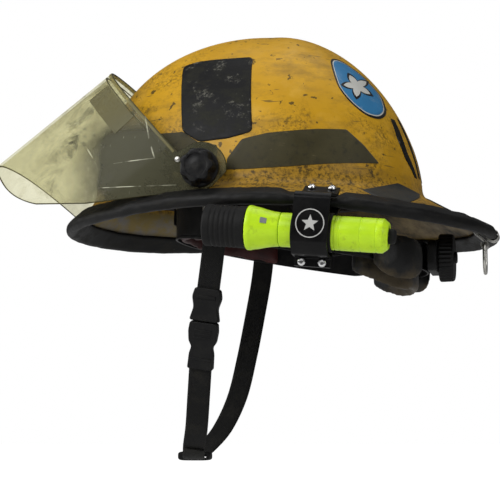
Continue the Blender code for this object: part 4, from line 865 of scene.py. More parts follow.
def make_shield(finish, bead_finish, rim_finish, label_finish, rivet_finish):
    columns = shield_columns()
    rows = 40
    half = 1.0 * MM
    sections = []
    for column in columns:
        outer = [shield_point(column, r / rows, half) for r in range(rows + 1)]
        inner = [shield_point(column, r / rows, -half) for r in range(rows + 1)]
        sections.append(outer + inner[::-1])
    shield = build_mesh("shield_sheet", *skin_rings(sections), finish, "shield", "shield_plastic", ("faceshield",))
    add_bevel(shield, 0.4 * MM, 2, 50)
    # folded bead along the top edge
    bead = []
    for column in columns:
        if column[1][0] is not None and column[1][0] < 24 * MM:
            continue
        loop = []
        for k in range(10):
            a = 2 * pi * k / 10
            loop.append(shield_point(column, 0.0, 1.4 * MM * cos(a), 1.7 * MM + 1.7 * MM * sin(a)))
        bead.append(loop)
    build_mesh("shield_bead", *skin_rings(bead), bead_finish, "shield", "shield_plastic")
    for name, down, shift in (("shield_top_line", 0.0, 6.4), ("shield_top_edge", 0.0, 0.2), ("shield_hem", 1.0, 0.1)):
        loops = []
        for column in columns:
            if shift > 1 and column[1][0] is not None and column[1][0] < 24 * MM:
                continue
            loops.append([shield_point(column, down, 1.15 * MM * cos(a), shift * MM + 0.5 * MM * sin(a))
                          for a in [2 * pi * k / 8 for k in range(8)]])
        build_mesh(name, *skin_rings(loops), rim_finish, "shield", "shield_plastic")
    # blank label near the top edge
    rows_l, label = 10, []
    for k in range(19):
        bend = radians(65.0 - 27.0 * k / 18)
        column = (-1, (None, bend))
        top = [shield_point(column, 0.0, 1.25 * MM, (7 + 21 * r / rows_l) * MM) for r in range(rows_l + 1)]
        back = [shield_point(column, 0.0, 1.02 * MM, (7 + 21 * r / rows_l) * MM) for r in range(rows_l + 1)]
        label.append(top + back[::-1])
    build_mesh("shield_label", *skin_rings(label), label_finish, "shield", "shield_plastic")
    for side in (-1, 1):
        for u, p in ((-13.0, 2.5), (18.5, 8.0)):
            spot = shield_place(u * MM, p * MM, side * (HALF + MM))

            def place(a, b, c, spot=spot, side=side):
                return spot + Vector((b, side * a, c))
            head = [(-2.2 * MM, 1.4 * MM), (0, 1.4 * MM), (0, 2.4 * MM), (0.7 * MM, 2.1 * MM), (1.0 * MM, 1.2 * MM),
                    (1.05 * MM, 0)]
            name = "tab_rivet_%s_%d" % ("left" if side < 0 else "right", 1 if u < 0 else 2)
            build_mesh(name, *skin_rings(turned(head, 24, place)), rivet_finish, "shield", "plated_steel")


def make_knobs(finish):
    start = HALF + MM + GAP
    for side, tag in ((-1, "left"), (1, "right")):
        stack = [(0.0, 0.97, 0.0), (0.5, 1.0, 0.0), (2.6, 1.0, 0.0), (3.2, 0.98, 0.03), (3.6, 0.955, 0.10),
                 (4.6, 0.945, 0.15), (7.5, 0.93, 0.165), (10.5, 0.91, 0.165), (13.0, 0.89, 0.16),
                 (14.2, 0.865, 0.15), (14.8, 0.82, 0.13), (15.0, 0.77, 0.10), (14.9, 0.62, 0.05), (14.1, 0.55, 0.0),
                 (14.0, 0.30, 0.0), (14.4, 0.24, 0.0), (14.4, 0.10, 0.0)]
        rings = []
        for depth, scale, scallop in stack:
            ring = []
            for k in range(210):
                angle = 2 * pi * k / 210 + radians(8)
                wave = 1 - scallop * (0.5 - 0.5 * cos(7 * angle)) ** 1.3
                r = 15.8 * MM * scale * wave
                ring.append(Vector((PIVOT.x + r * cos(angle), side * (start + depth * MM), PIVOT.z + r * sin(angle))))
            rings.append(ring)
        build_mesh("knob_cap_" + tag, *skin_rings(rings), finish, "knob_" + tag, "black_plastic",
                   ("shield_knob_" + tag,), angle=32)


# ------------------------------------------------------------------ helmet light and bracket

LIGHT = Matrix.Translation(Vector((-36.3, -160.0, -11.25)) * MM) @ Matrix.Rotation(radians(5.3), 4, 'Y')
RADIUS, BEZEL, HEAD = 13.2 * MM, 16.3 * MM, 17.4 * MM
LENGTH, BEZEL_END, HEAD_END = 143.5 * MM, 34.0 * MM, 60.0 * MM
BRACKET_START, BRACKET_WIDTH, PLATE = 71.5 * MM, 28.0 * MM, 2.4 * MM
SLEEVE = 15.3 * MM
EAR = 6.2 * MM


def light_place(a, u, v):
    return LIGHT @ Vector((a, u, v))


def make_light(lime, black, glass, mirror, grey):
    mm = MM

    def tube(name, profile, finish, body, slot, node, segments=96, cut=0.5):
        points, faces = turned_loop(soften(profile, cut * mm, closed=True), segments, light_place)
        return build_mesh(name, points, faces, finish, body, slot, (node,) if node else ())

    bezel = [(0.4 * mm, 13.4 * mm), (0.4 * mm, 15.0 * mm), (1.6 * mm, BEZEL)]
    for k in range(6):
        a = (6.0 + 3.8 * k) * mm
        groove = BEZEL - 0.45 * mm
        bezel += [(a, BEZEL), (a + 0.6 * mm, groove), (a + 1.6 * mm, groove), (a + 2.2 * mm, BEZEL)]
    bezel += [(BEZEL_END - 0.6 * mm, BEZEL), (BEZEL_END, BEZEL - 0.5 * mm), (BEZEL_END, 13.4 * mm)]
    tube("bezel_ring", bezel, black, "bezel", "black_plastic", "light_bezel", 96, 0.3)
    rings = turned(soften([(1.4 * mm, 0.0), (1.4 * mm, 12.4 * mm), (2.0 * mm, 13.1 * mm), (3.4 * mm, 13.1 * mm),
                           (3.4 * mm, 0.0)], 0.3 * mm), 72, light_place)
    build_mesh("lens_disc", *skin_rings(rings), glass, "bezel", "lens_plastic", ("light_lens",))
    bowl = [(4.2 * mm + 21.3 * mm * k / 16, (4.6 + 7.9 * sqrt(max(1 - k / 16, 0))) * mm) for k in range(17)]
    outline = [(a, r + 0.45 * mm) for a, r in bowl] + [(a, r) for a, r in bowl[::-1]]
    points, faces = turned_loop(outline, 72, light_place)
    build_mesh("reflector_bowl", points, faces, mirror, "bezel", "reflector", ("light_reflector",))
    tube("light_cone", [(BEZEL_END + GAP, 12.4 * mm), (BEZEL_END + GAP, HEAD - 0.7 * mm),
                        (BEZEL_END + 1.2 * mm, HEAD), (37.5 * mm, HEAD), (39.5 * mm, HEAD - 0.7 * mm),
                        (44.0 * mm, 16.0 * mm), (49.0 * mm, 14.7 * mm), (54.0 * mm, 13.7 * mm),
                        (58.6 * mm, RADIUS + 0.1 * mm), (HEAD_END, RADIUS - 0.25 * mm), (HEAD_END, 11.3 * mm),
                        (33.0 * mm, 11.3 * mm)], lime, "light", "lime_plastic", "light_head", 120, 0.8)
    profile = [(44.0 * mm, 10.9 * mm), (HEAD_END + GAP, 10.9 * mm), (HEAD_END + GAP, RADIUS - 0.3 * mm),
               (HEAD_END + 1.0 * mm, RADIUS)]
    for a in (102.0, 106.0, 122.0, 134.0):
        profile += [(a * mm, RADIUS), ((a + 0.35) * mm, RADIUS - 0.35 * mm), ((a + 0.9) * mm, RADIUS - 0.35 * mm),
                    ((a + 1.25) * mm, RADIUS)]
    profile += [(LENGTH - 4.0 * mm, RADIUS), (LENGTH, 10.0 * mm), (LENGTH, 6.4 * mm), (138.6 * mm, 6.4 * mm),
                (138.6 * mm, 8.3 * mm), (44.0 * mm, 8.3 * mm)]
    tube("light_barrel", profile, lime, "light", "lime_plastic", "light_body", 120, 0.25)
    cap = [(138.9 * mm, 0.0), (138.9 * mm, 5.9 * mm), (145.6 * mm, 5.9 * mm), (147.4 * mm, 5.7 * mm),
           (148.7 * mm, 4.6 * mm), (149.0 * mm, 3.0 * mm), (148.6 * mm, 0.0)]
    build_mesh("switch_cap", *skin_rings(turned(soften(cap, 0.4 * mm), 64, light_place)), black, "switch",
               "black_plastic", ("tail_switch",))
    # small blank square on the neck of the cone
    pad = []
    for a in (46.3, 46.6, 50.9, 51.2):
        r = (15.6 - 0.31 * (a - 46)) * mm
        edge = a in (46.3, 51.2)
        pad.append([light_place(a * mm, -(r + (0.25 * mm if edge else 0.65 * mm)) * cos(t), (r + 0.5 * mm) * sin(t))
                    for t in [radians(9 + 17 * j / 8) for j in range(9)]])
    points, faces = skin_rings(pad, closed=False, cap_start=False, cap_end=False)
    build_mesh("cone_tag", points, faces, grey, "light", "lime_plastic")


def bracket_paths():
    mm = MM
    out = -(SLEEVE + GAP + PLATE / 2)
    outer = [(24.0 * mm, 37.7 * mm), (10.6 * mm, 30.1 * mm), (-9.0 * mm, 28.4 * mm), (out + 3.0 * mm, 27.6 * mm),
             (out, 24.4 * mm), (out, -11.0 * mm), (-8.5 * mm, -18.0 * mm), (5.0 * mm, -18.4 * mm),
             (EAR, -19.4 * mm), (EAR, -26.3 * mm)]
    inside = SLEEVE + GAP + PLATE / 2
    tab = EAR + PLATE + GAP
    inner = [(37.0 * mm, 27.6 * mm), (20.3 * mm, 18.2 * mm), (inside, 15.2 * mm), (inside, -10.5 * mm),
             (13.0 * mm, -15.8 * mm), (tab, -18.8 * mm), (tab, -26.3 * mm)]
    return outer, inner


def make_bracket(black, liner, chrome, white):
    outer, inner = bracket_paths()
    start, end = BRACKET_START, BRACKET_START + BRACKET_WIDTH
    for name, path, node in (("clamp_outer", outer, "bracket_outer"), ("clamp_inner", inner, "bracket_inner")):
        outline = strip_outline(soften(path, 1.6 * MM), PLATE)
        rings = [[light_place(d, u, v) for u, v in outline] for d in (start, end)]
        plate = build_mesh(name, *skin_rings(rings), black, "helmet", "black_aluminium", (node,), angle=30)
        add_bevel(plate, 0.5 * MM, 3, 60)
    points, faces = turned_loop(soften([(start - 1.5 * MM, SLEEVE - 0.2 * MM), (end + 1.5 * MM, SLEEVE - 0.2 * MM),
                                        (end + 1.5 * MM, RADIUS + 0.25 * MM), (start - 1.5 * MM, RADIUS + 0.25 * MM)],
                                       0.5 * MM, closed=True), 96, light_place)
    build_mesh("sleeve_ring", points, faces, liner, "helmet", "trim_rubber", ("light_sleeve",))
    # plain sticker: a star in a thin ring, low relief on the outer plate
    face = -(SLEEVE + GAP + PLATE)
    centre = (start + BRACKET_WIDTH / 2, 4.0 * MM)

    def on_face(a, v, lift):
        return light_place(centre[0] + a * 1.12, face - lift, centre[1] + v * 1.12)

    def flat_shape(name, outline):
        low = [on_face(a, v, -0.1 * MM) for a, v in outline]
        high = [on_face(a, v, 0.25 * MM) for a, v in outline]
        build_mesh(name, *skin_rings([low, high]), white, "helmet", "black_aluminium", smooth=False)

    def flat_ring(name, r_in, r_out):
        sections = []
        for k in range(96):
            a = 2 * pi * k / 96
            sections.append([on_face(r * cos(a), r * sin(a), h) for r, h in
                             ((r_in, -0.1 * MM), (r_out, -0.1 * MM), (r_out, 0.25 * MM), (r_in, 0.25 * MM))])
        points, faces = skin_loop(sections)
        build_mesh(name, points, faces, white, "helmet", "black_aluminium", smooth=False)

    flat_ring("sticker_ring", 9.2 * MM, 9.9 * MM)
    star = []
    for k in range(10):
        a = pi / 2 + pi * k / 5
        r = (6.0 if k % 2 == 0 else 2.6) * MM
        star.append((r * cos(a), r * sin(a)))
    flat_shape("sticker_star", star)
    for screw in ("top_screw_1", "top_screw_2", "side_screw_1", "side_screw_2"):
        set_material(screw, chrome)
    hook = Vector((24.0 - 10.6, 37.7 - 30.1)).normalized()
    normal = Vector((-hook.y, hook.x))
    spot = Vector((24.0, 37.7)) * MM - hook * 4.2 * MM
    for k, along in enumerate((start + 6.0 * MM, end - 6.0 * MM)):
        def upright(a, u, v, along=along):
            c = spot + normal * a + hook * v
            return light_place(along + u, c.x, c.y)

        def sideways(a, u, v, along=along):
            return light_place(along + u, EAR - a, -23.0 * MM + v)

        for tag, place in (("top", upright), ("side", sideways)):
            base = PLATE / 2 + GAP
            head = [(base - 0.2 * MM, 1.8 * MM), (base, 3.3 * MM), (base + 1.2 * MM, 3.25 * MM),
                    (base + 2.0 * MM, 2.7 * MM),
                    (base + 2.3 * MM, 1.75 * MM), (base + 1.2 * MM, 1.6 * MM), (base + 1.1 * MM, 0.0)]
            rings = turned(soften(head, 0.25 * MM), 36, place)
            build_mesh("%s_screw_head_%d" % (tag, k + 1), *skin_rings(rings), chrome, "helmet", "plated_steel",
                       ("%s_screw_%d" % (tag, k + 1),))


def set_material(node, finish):
    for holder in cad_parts[node].material_slots:
        holder.material = finish


# ------------------------------------------------------------------ suspension

BAND_X, BAND_HALF, BAND_WIDTH, BAND_THICK = 6.0 * MM, 104.0 * MM, 80.0 * MM, 1.8 * MM
NAPE_REACH, KNOB_X, RATCHET_Z = 108.4 * MM, 130.5 * MM, -22.5 * MM


def band_z(x):
    t = (x - (BAND_X - BAND_HALF)) / (2 * BAND_HALF)
    return (12.0 - 36.0 * min(max(t, -0.1), 1.12)) * MM


def nape_level(x):
    t = min(max((x - 30 * MM) / (80 * MM), 0.0), 1.0)
    return band_z(30 * MM) + (RATCHET_Z - band_z(30 * MM)) * t


def band_point(angle, offset, rear=BAND_HALF):
    x, y = superellipse(angle, BAND_HALF + offset, rear + offset, BAND_WIDTH + offset, 2.25)
    return BAND_X + x, y


def edge_strip(name, first, last, offset, thickness, low, high, finish, body, slot, node, rear=BAND_HALF,
               level=band_z, count=120, taper=0.0):
    """Moulded strip on edge with a raised rim along both edges."""
    sections = []
    for k in range(count + 1):
        angle = radians(first + (last - first) * k / count)
        end = min(k, count - k) / count
        shrink = taper * max(0.0, 1 - end / 0.05) ** 2
        z0 = level(band_point(angle, offset, rear)[0])
        rows = [(low + shrink, 0.0), (high - shrink, 0.0), (high - shrink, 1.0), (high - shrink - 2 * MM, 1.0),
                (high - shrink - 2.6 * MM, 0.62), (low + shrink + 2.6 * MM, 0.62), (low + shrink + 2 * MM, 1.0),
                (low + shrink, 1.0)]
        ring = []
        for h, out in rows:
            x, y = band_point(angle, offset + thickness * out, rear)
            ring.append(Vector((x, y, z0 + h)))
        sections.append(ring)
    made = build_mesh(name, *skin_rings(sections), finish, body, slot, (node,), angle=35)
    return add_bevel(made, 0.25 * MM, 2, 60)


def strap_sections(line, across, half, thick):
    """Rings of a flat woven strap with rounded edges, and the lengths that its weave is read from."""
    rings, uvs = [], []
    run = 0.0
    outline = []
    for k in range(-6, 7):
        outline.append((k / 6, 1.0))
    outline = [(-1.0, 0.35)] + outline[1:-1] + [(1.0, 0.35), (1.0, -0.35)]
    outline += [(k / 6, -1.0) for k in range(5, -6, -1)] + [(-1.0, -0.35)]
    for k, centre in enumerate(line):
        tangent = (line[min(k + 1, len(line) - 1)] - line[max(k - 1, 0)]).normalized()
        wide = (across - tangent * tangent.dot(across)).normalized()
        normal = tangent.cross(wide).normalized()
        if k:
            run += (centre - line[k - 1]).length
        rings.append([centre + wide * half * w + normal * thick / 2 * n for w, n in outline])
        uvs += [(run, w * half) for w, _ in outline]
    return rings, uvs


def make_strap(name, line, across, half, thick, finish, body, slot, node):
    rings, uvs = strap_sections(line, across, half, thick)
    points, faces = skin_rings(rings)
    return build_mesh(name, points, faces, finish, body, slot, (node,) if node else (), angle=70, uvs=uvs)


def crown_line(heading, top, reach, feet, count=90):
    forward = Vector((cos(heading), sin(heading), 0))
    line = []
    for k in range(count + 1):
        t = pi * k / count
        end = 0 if t < pi / 2 else 1
        out = abs(cos(t)) ** (2 / 2.3) * (-1, 1)[end]
        rise = sin(t) ** (2 / 2.3) if 0 < k < count else 0.0
        height = feet[end] + (top - feet[end]) * rise
        line.append(Vector((BAND_X, 0, height)) + forward * (reach[end] * out))
    return line


def make_suspension(plastic, webbing):
    half = 15.0 * MM
    edge_strip("band_strip", 52, 308, 0.0, BAND_THICK, -half, half, plastic, "helmet", "black_plastic", "headband",
               taper=5 * MM, count=160)
    off = BAND_THICK + 1.3 * MM
    long_reach = (BAND_HALF + off + 0.75 * MM, 82.0 * MM)
    line = crown_line(0.0, 126.0 * MM, long_reach, (band_z(BAND_X - BAND_HALF), 38.0 * MM))
    make_strap("crown_web_long", line, Vector((0, 1, 0)), 11 * MM, 1.5 * MM, webbing, "helmet", "strap_webbing",
               "crown_strap_long")
    line = crown_line(pi / 2, 123.6 * MM, (BAND_WIDTH + off + 0.75 * MM,) * 2, (band_z(BAND_X),) * 2)
    make_strap("crown_web_cross", line, Vector((-1, 0, 0)), 11 * MM, 1.5 * MM, webbing, "helmet", "strap_webbing",
               "crown_strap_cross")
    edge_strip("nape_band", -66, 66, BAND_THICK + 2.6 * MM, BAND_THICK, -12 * MM, 12 * MM, plastic, "nape",
               "black_plastic", "nape_strap", NAPE_REACH, nape_level, taper=4 * MM)


def lofted(name, headings, offset, deep, high, low, end_round):
    """Closed cushion along the nape: oval sections between a top and a bottom edge, rounded at its ends."""
    sections = []
    count = len(headings)
    for k, heading in enumerate(headings):
        t = k / (count - 1)
        full = max(0.6, (1 - abs(2 * t - 1) ** end_round) ** (1 / end_round))
        level = nape_level(band_point(heading, 0.0, NAPE_REACH)[0])
        top, bottom = high(t), low(t)
        middle, half = (top + bottom) / 2, (top - bottom) / 2 * (0.35 + 0.65 * full)
        ring = []
        for j in range(26):
            a = 2 * pi * j / 26
            c, s = cos(a), sin(a)
            out = offset + deep * full * (1 if c > 0 else -1) * abs(c) ** 0.5
            x, y = band_point(heading, out, NAPE_REACH)
            ring.append(Vector((x, y, level + middle + half * (1 if s > 0 else -1) * abs(s) ** 0.8)))
        sections.append(ring)
    points, faces = skin_rings(sections)
    mesh = bpy.data.meshes.new(name)
    mesh.from_pydata([tuple(p) for p in points], [], faces)
    return mesh


def nape_cover(side):
    """Cover of the nape pad turned up over the outside of the nape strap, beside the ratchet."""
    headings = [side * radians(17.0 + 27.0 * k / 26) for k in range(27)]
    return lofted("nape_cover_shape", headings, 10.2 * MM, 3.4 * MM, lambda t: 13.0 * MM,
                  lambda t: (-24.0 - 5.0 * sin(pi * t)) * MM, 3.0)


def nape_roll():
    """The nape pad itself: a deep roll inside the strap, lowest beside the ratchet."""
    headings = [radians(-49.0 + 98.0 * k / 64) for k in range(65)]
    return lofted("nape_roll_shape", headings, -6.2 * MM, 4.6 * MM, lambda t: 16.0 * MM,
                  lambda t: (-29.0 - 4.0 * sin(2 * pi * abs(t - 0.5)) ** 2) * MM, 5.0)


def soft_pad(name, node, body, finish, cap, seams, voxel=3.5 * MM, pressure=4.0, shape=None):
    """Swell a copy of a plain pad with cloth pressure, then press its sewn lines in."""
    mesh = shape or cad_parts[node].data.copy()
    mesh.materials.clear()
    work = bmesh.new()
    work.from_mesh(mesh)
    bmesh.ops.remove_doubles(work, verts=work.verts, dist=1e-6)
    bmesh.ops.recalc_face_normals(work, faces=work.faces)
    work.normal_update()
    for vert in work.verts:
        vert.co -= vert.normal * cap * 0.9
    work.to_mesh(mesh)
    work.free()
    made = bpy.data.objects.new(name, mesh)
    bpy.context.scene.collection.objects.link(made)
    remesh = made.modifiers.new("voxels", 'REMESH')
    remesh.mode = 'VOXEL'
    remesh.voxel_size = voxel
    apply_modifiers(made)
    rest = [v.co.copy() for v in made.data.vertices]
    cloth = made.modifiers.new("swell", 'CLOTH')
    cloth.settings.quality = 5
    cloth.settings.use_pressure = True
    cloth.settings.uniform_pressure_force = pressure
    cloth.settings.effector_weights.gravity = 0.0
    cloth.point_cache.frame_start = 1
    cloth.point_cache.frame_end = 20
    for step in range(1, 21):
        bpy.context.scene.frame_set(step)
    apply_modifiers(made)
    bpy.context.scene.frame_set(1)
    for vert, start in zip(made.data.vertices, rest):
        move = vert.co - start
        if move.length > cap:
            vert.co = start + move * (cap / move.length)
    even = made.modifiers.new("even", 'SMOOTH')
    even.factor = 0.5
    even.iterations = 12
    apply_modifiers(made)
    finer = made.modifiers.new("finer", 'SUBSURF')
    finer.levels = 1
    finer.render_levels = 1
    apply_modifiers(made)
    work = bmesh.new()
    work.from_mesh(made.data)
    work.normal_update()
    shifts = []
    for vert in work.verts:
        dent = seams(vert.co) + 0.25 * MM * noise.noise(vert.co * 90)
        shifts.append(vert.normal * dent)
    for vert, shift in zip(work.verts, shifts):
        vert.co -= shift
    work.to_mesh(made.data)
    work.free()
    made.data.materials.append(finish)
    made.data.shade_smooth()
    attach(made, body)
    if node:
        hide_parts(node)
    return made


def apply_modifiers(obj):
    bpy.context.view_layer.update()
    graph = bpy.context.evaluated_depsgraph_get()
    mesh = bpy.data.meshes.new_from_object(obj.evaluated_get(graph))
    obj.modifiers.clear()
    obj.data = mesh


def seam_dent(distance, depth, width=1.6 * MM):
    return depth * exp(-(distance / width) ** 2)


def make_pads(cloth, leather, crown_cloth):
    def brow_seams(p):
        top = abs(p.z - (band_z(p.x) + 9.5 * MM))
        return seam_dent(top, 0.8 * MM)

    def crown_seams(p):
        r = hypot(p.x - BAND_X, p.y)
        spoke = min(abs(p.x - BAND_X), abs(p.y))
        return max(seam_dent(r - 30 * MM, 1.2 * MM), seam_dent(spoke, 1.2 * MM) if r < 30 * MM else 0.0)

    def nape_folds(p):
        heading = atan2(p.y, p.x - BAND_X)
        fold = noise.noise(Vector((heading * 3.2 + p.z * 16, p.z * 44 - heading * 1.5, 1.7)))
        crease = abs(noise.noise(Vector((heading * 6 - p.z * 20, p.z * 62, 5.1))))
        return 1.9 * MM * fold + 0.6 * MM * crease

    soft_pad("nape_cushion", "nape_pad", "nape", cloth, 1.4 * MM, nape_folds, voxel=2.0 * MM,
             shape=nape_roll())
    for side, tag in ((-1, "left"), (1, "right")):
        soft_pad("nape_cover_" + tag, None, "nape", cloth, 1.0 * MM, nape_folds,
                 voxel=1.8 * MM, shape=nape_cover(side))
    soft_pad("brow_cushion", "brow_pad", "helmet", leather, 1.5 * MM, brow_seams, 3.0 * MM)
    soft_pad("crown_cushion", "crown_pad", "helmet", crown_cloth, 1.6 * MM, crown_seams, 3.0 * MM)


def make_ratchet(plastic):
    def place(a, u, v):
        return Vector((KNOB_X + a, u, RATCHET_Z + v))

    segments = 216
    rings = []
    for depth, scale, rib in ((0.0, 0.95, 0), (0.5, 0.975, 0), (1.2, 1.0, 0.03), (3.0, 1.0, 0.04), (10.4, 0.99, 0.04),
                              (11.6, 0.975, 0.03), (12.4, 0.94, 0), (12.8, 0.88, 0), (12.5, 0.80, 0), (12.2, 0.5, 0),
                              (12.4, 0.30, 0), (12.9, 0.245, 0), (14.4, 0.235, 0), (15.1, 0.20, 0), (15.2, 0.10, 0)):
        ring = []
        for k in range(segments):
            a = 2 * pi * k / segments
            ridge = 1 - rib * (0.5 - 0.5 * cos(36 * a)) ** 0.7
            ring.append(place(depth * MM, 20.5 * MM * scale * ridge * cos(a), 20.5 * MM * scale * ridge * sin(a)))
        rings.append(ring)
    build_mesh("ratchet_dial", *skin_rings(rings), plastic, "ratchet", "black_plastic", ("ratchet_knob",), angle=30)
    low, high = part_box("ratchet_housing")
    outline = round_outline([Vector((-26, -13)) * MM, Vector((26, -13)) * MM, Vector((26, 13)) * MM,
                             Vector((-26, 13)) * MM], 7 * MM, 1.5 * MM)
    middle = sum(outline, Vector((0, 0))) / len(outline)
    rings = []
    for x, grow in ((low.x, 1.0), (high.x - 1.2 * MM, 1.0), (high.x - 0.4 * MM, 0.975), (high.x, 0.93)):
        rings.append([Vector((x, middle.x + (p.x - middle.x) * grow, RATCHET_Z + middle.y + (p.y - middle.y) * grow))
                      for p in outline])
    build_mesh("ratchet_case", *skin_rings(rings), plastic, "nape", "black_plastic", ("ratchet_housing",), angle=45)


# ------------------------------------------------------------------ chin strap

STRAP_PIVOT = Vector((-43.0, 97.5, -4.0)) * MM


def strap_line(count=280):
    left = [(-43.0, -97.5, -4.0), (-46.0, -96.5, -30.0), (-51.0, -93.0, -62.0), (-57.0, -86.0, -100.0),
            (-63.0, -72.0, -137.0), (-71.0, -48.0, -166.0), (-80.0, -22.0, -184.0), (-84.0, 0.0, -190.5)]
    left = [Vector(p) * MM for p in left]
    return smooth_path(left + [Vector((p.x, -p.y, p.z)) for p in left[-2::-1]], count)


def oriented(centre, tangent):
    wide = (Vector((1, 0, 0)) - tangent * tangent.x).normalized()
    normal = tangent.cross(wide).normalized()

    def place(along, across, out):
        return centre + tangent * along + wide * across + normal * out
    return place


def slab(name, outline, low, high, place, finish, body, slot, node=None, bevel=0.8 * MM):
    rings = [[place(u, v, h) for u, v in outline] for h in (low, high)]
    made = build_mesh(name, *skin_rings(rings), finish, body, slot, (node,) if node else (), angle=35)
    return add_bevel(made, bevel, 3, 40)


def make_chin_strap(webbing, plastic, steel):
    line = strap_line()
    half, thick = 9.5 * MM, 1.7 * MM
    first = [line[0] + (line[0] - line[3]).normalized() * d * MM for d in (6.0, 3.0)]
    upper = first + line[:38]
    make_strap("chin_web_upper", upper, Vector((1, 0, 0)), half, thick, webbing, "chin_strap", "strap_webbing",
               "chin_strap_upper")
    last = [line[-1] + (line[-1] - line[-4]).normalized() * d * MM for d in (3.0, 6.0)]
    make_strap("chin_web_lower", line[67:] + last, Vector((1, 0, 0)), half, thick, webbing, "chin_strap",
               "strap_webbing", "chin_strap_lower")
    # folded-back tail of the webbing, held by the slider
    tail = []
    for k in range(118, 142):
        tangent = (line[k + 1] - line[k - 1]).normalized()
        wide = (Vector((1, 0, 0)) - tangent * tangent.x).normalized()
        out = tangent.cross(wide).normalized()
        if out.z > 0:
            out = -out
        tail.append(line[k] + out * (2.0 * MM + 1.2 * MM * sin(pi * (k - 118) / 23)))
    make_strap("chin_web_tail", tail, Vector((1, 0, 0)), 9.3 * MM, 1.5 * MM, webbing, "chin_strap",
               "strap_webbing", None)
    make_buckle(line, plastic)
    make_slider(line, plastic)
    for side, tag in ((-1, "left"), (1, "right")):
        def place(a, u, v, side=side):
            return Vector((STRAP_PIVOT.x + u, side * a, STRAP_PIVOT.z + v))
        plate = [(-9.0, 0.0), (-6.4, -6.4), (0.0, -9.0), (6.4, -6.4), (9.0, 0.0), (11.0, 30.0), (-11.0, 30.0)]
        outline = round_outline([Vector(p) * MM for p in plate], 3 * MM, 1.2 * MM)
        rings = [[place(d, p.x, p.y) for p in outline] for d in (100.2 * MM, 101.8 * MM)]
        add_bevel(build_mesh("hanger_plate_" + tag, *skin_rings(rings), steel, "helmet", "plated_steel",
                             ("strap_hanger_" + tag,)), 0.3 * MM)
        head = [(92.2, 0.0), (92.3, 2.6), (92.8, 4.4), (93.6, 5.0), (95.2, 5.0), (95.2, 2.4), (104.6, 2.4),
                (104.6, 0.0)]
        rings = turned(soften([(a * MM, r * MM) for a, r in head], 0.4 * MM), 40, place)
        build_mesh("rivet_stud_" + tag, *skin_rings(rings), steel, "helmet", "plated_steel", ("strap_rivet_" + tag,))


def make_buckle(line, plastic):
    """Side-release buckle: a solid socket and a waisted insert, each with low ribs across both faces."""
    a, b, c = line[35], line[50], line[70]
    tangent = (b - a).normalized()
    place = oriented((a + b) / 2, tangent)
    long = (b - a).length / 2 - 0.4 * MM
    wide = 12.5 * MM
    outline = [(-long, -wide * 0.84), (-long * 0.45, -wide * 0.98), (long * 0.2, -wide * 0.80), (long, -wide),
               (long, wide), (long * 0.2, wide * 0.80), (-long * 0.45, wide * 0.98), (-long, wide * 0.84)]
    outline = [(p.x, p.y) for p in round_outline([Vector(p) for p in outline], 2.2 * MM, 1.2 * MM)]
    slab("buckle_socket_shell", outline, -3.9 * MM, 3.9 * MM, place, plastic, "chin_strap", "black_plastic",
         "buckle_socket")
    rib = [(-long * 0.55, -wide * 0.62), (-long * 0.35, -wide * 0.62), (-long * 0.35, wide * 0.62),
           (-long * 0.55, wide * 0.62)]
    for side in (-1, 1):
        low, high = sorted((side * 3.8 * MM, side * 4.6 * MM))
        slab("socket_rib_%s" % ("in" if side < 0 else "out"), rib, low, high, place, plastic, "chin_strap",
             "black_plastic", None, 0.3 * MM)
    tangent = (c - b).normalized()
    place = oriented((b + c) / 2, tangent)
    long = (c - b).length / 2 - 0.4 * MM
    waist = [(-long, -wide * 0.93), (-long * 0.62, -wide), (-long * 0.18, -wide * 0.92), (long * 0.05, -wide * 0.70),
             (long * 0.35, -wide * 0.82), (long, -wide * 0.86), (long, wide * 0.86), (long * 0.35, wide * 0.82),
             (long * 0.05, wide * 0.70), (-long * 0.18, wide * 0.92), (-long * 0.62, wide), (-long, wide * 0.93)]
    outline = [(p.x, p.y) for p in round_outline([Vector(p) for p in waist], 1.8 * MM, 1.2 * MM)]
    slab("buckle_insert_shell", outline, -3.6 * MM, 3.6 * MM, place, plastic, "chin_strap", "black_plastic",
         "buckle_insert")
    for side in (-1, 1):
        low, high = sorted((side * 3.5 * MM, side * 4.1 * MM))
        for k, spot in enumerate((-0.66, -0.5, -0.34)):
            rib = [(long * spot - 0.7 * MM, -wide * 0.6), (long * spot + 0.7 * MM, -wide * 0.6),
                   (long * spot + 0.7 * MM, wide * 0.6), (long * spot - 0.7 * MM, wide * 0.6)]
            slab("insert_rib_%s_%d" % ("in" if side < 0 else "out", k + 1), rib, low, high, place, plastic,
                 "chin_strap", "black_plastic", None, 0.3 * MM)
        bar = [(long * 0.50, -wide * 0.7), (long * 0.62, -wide * 0.7), (long * 0.62, wide * 0.7),
               (long * 0.50, wide * 0.7)]
        slab("insert_bar_%s" % ("in" if side < 0 else "out"), bar, low, high, place, plastic, "chin_strap",
             "black_plastic", None, 0.3 * MM)


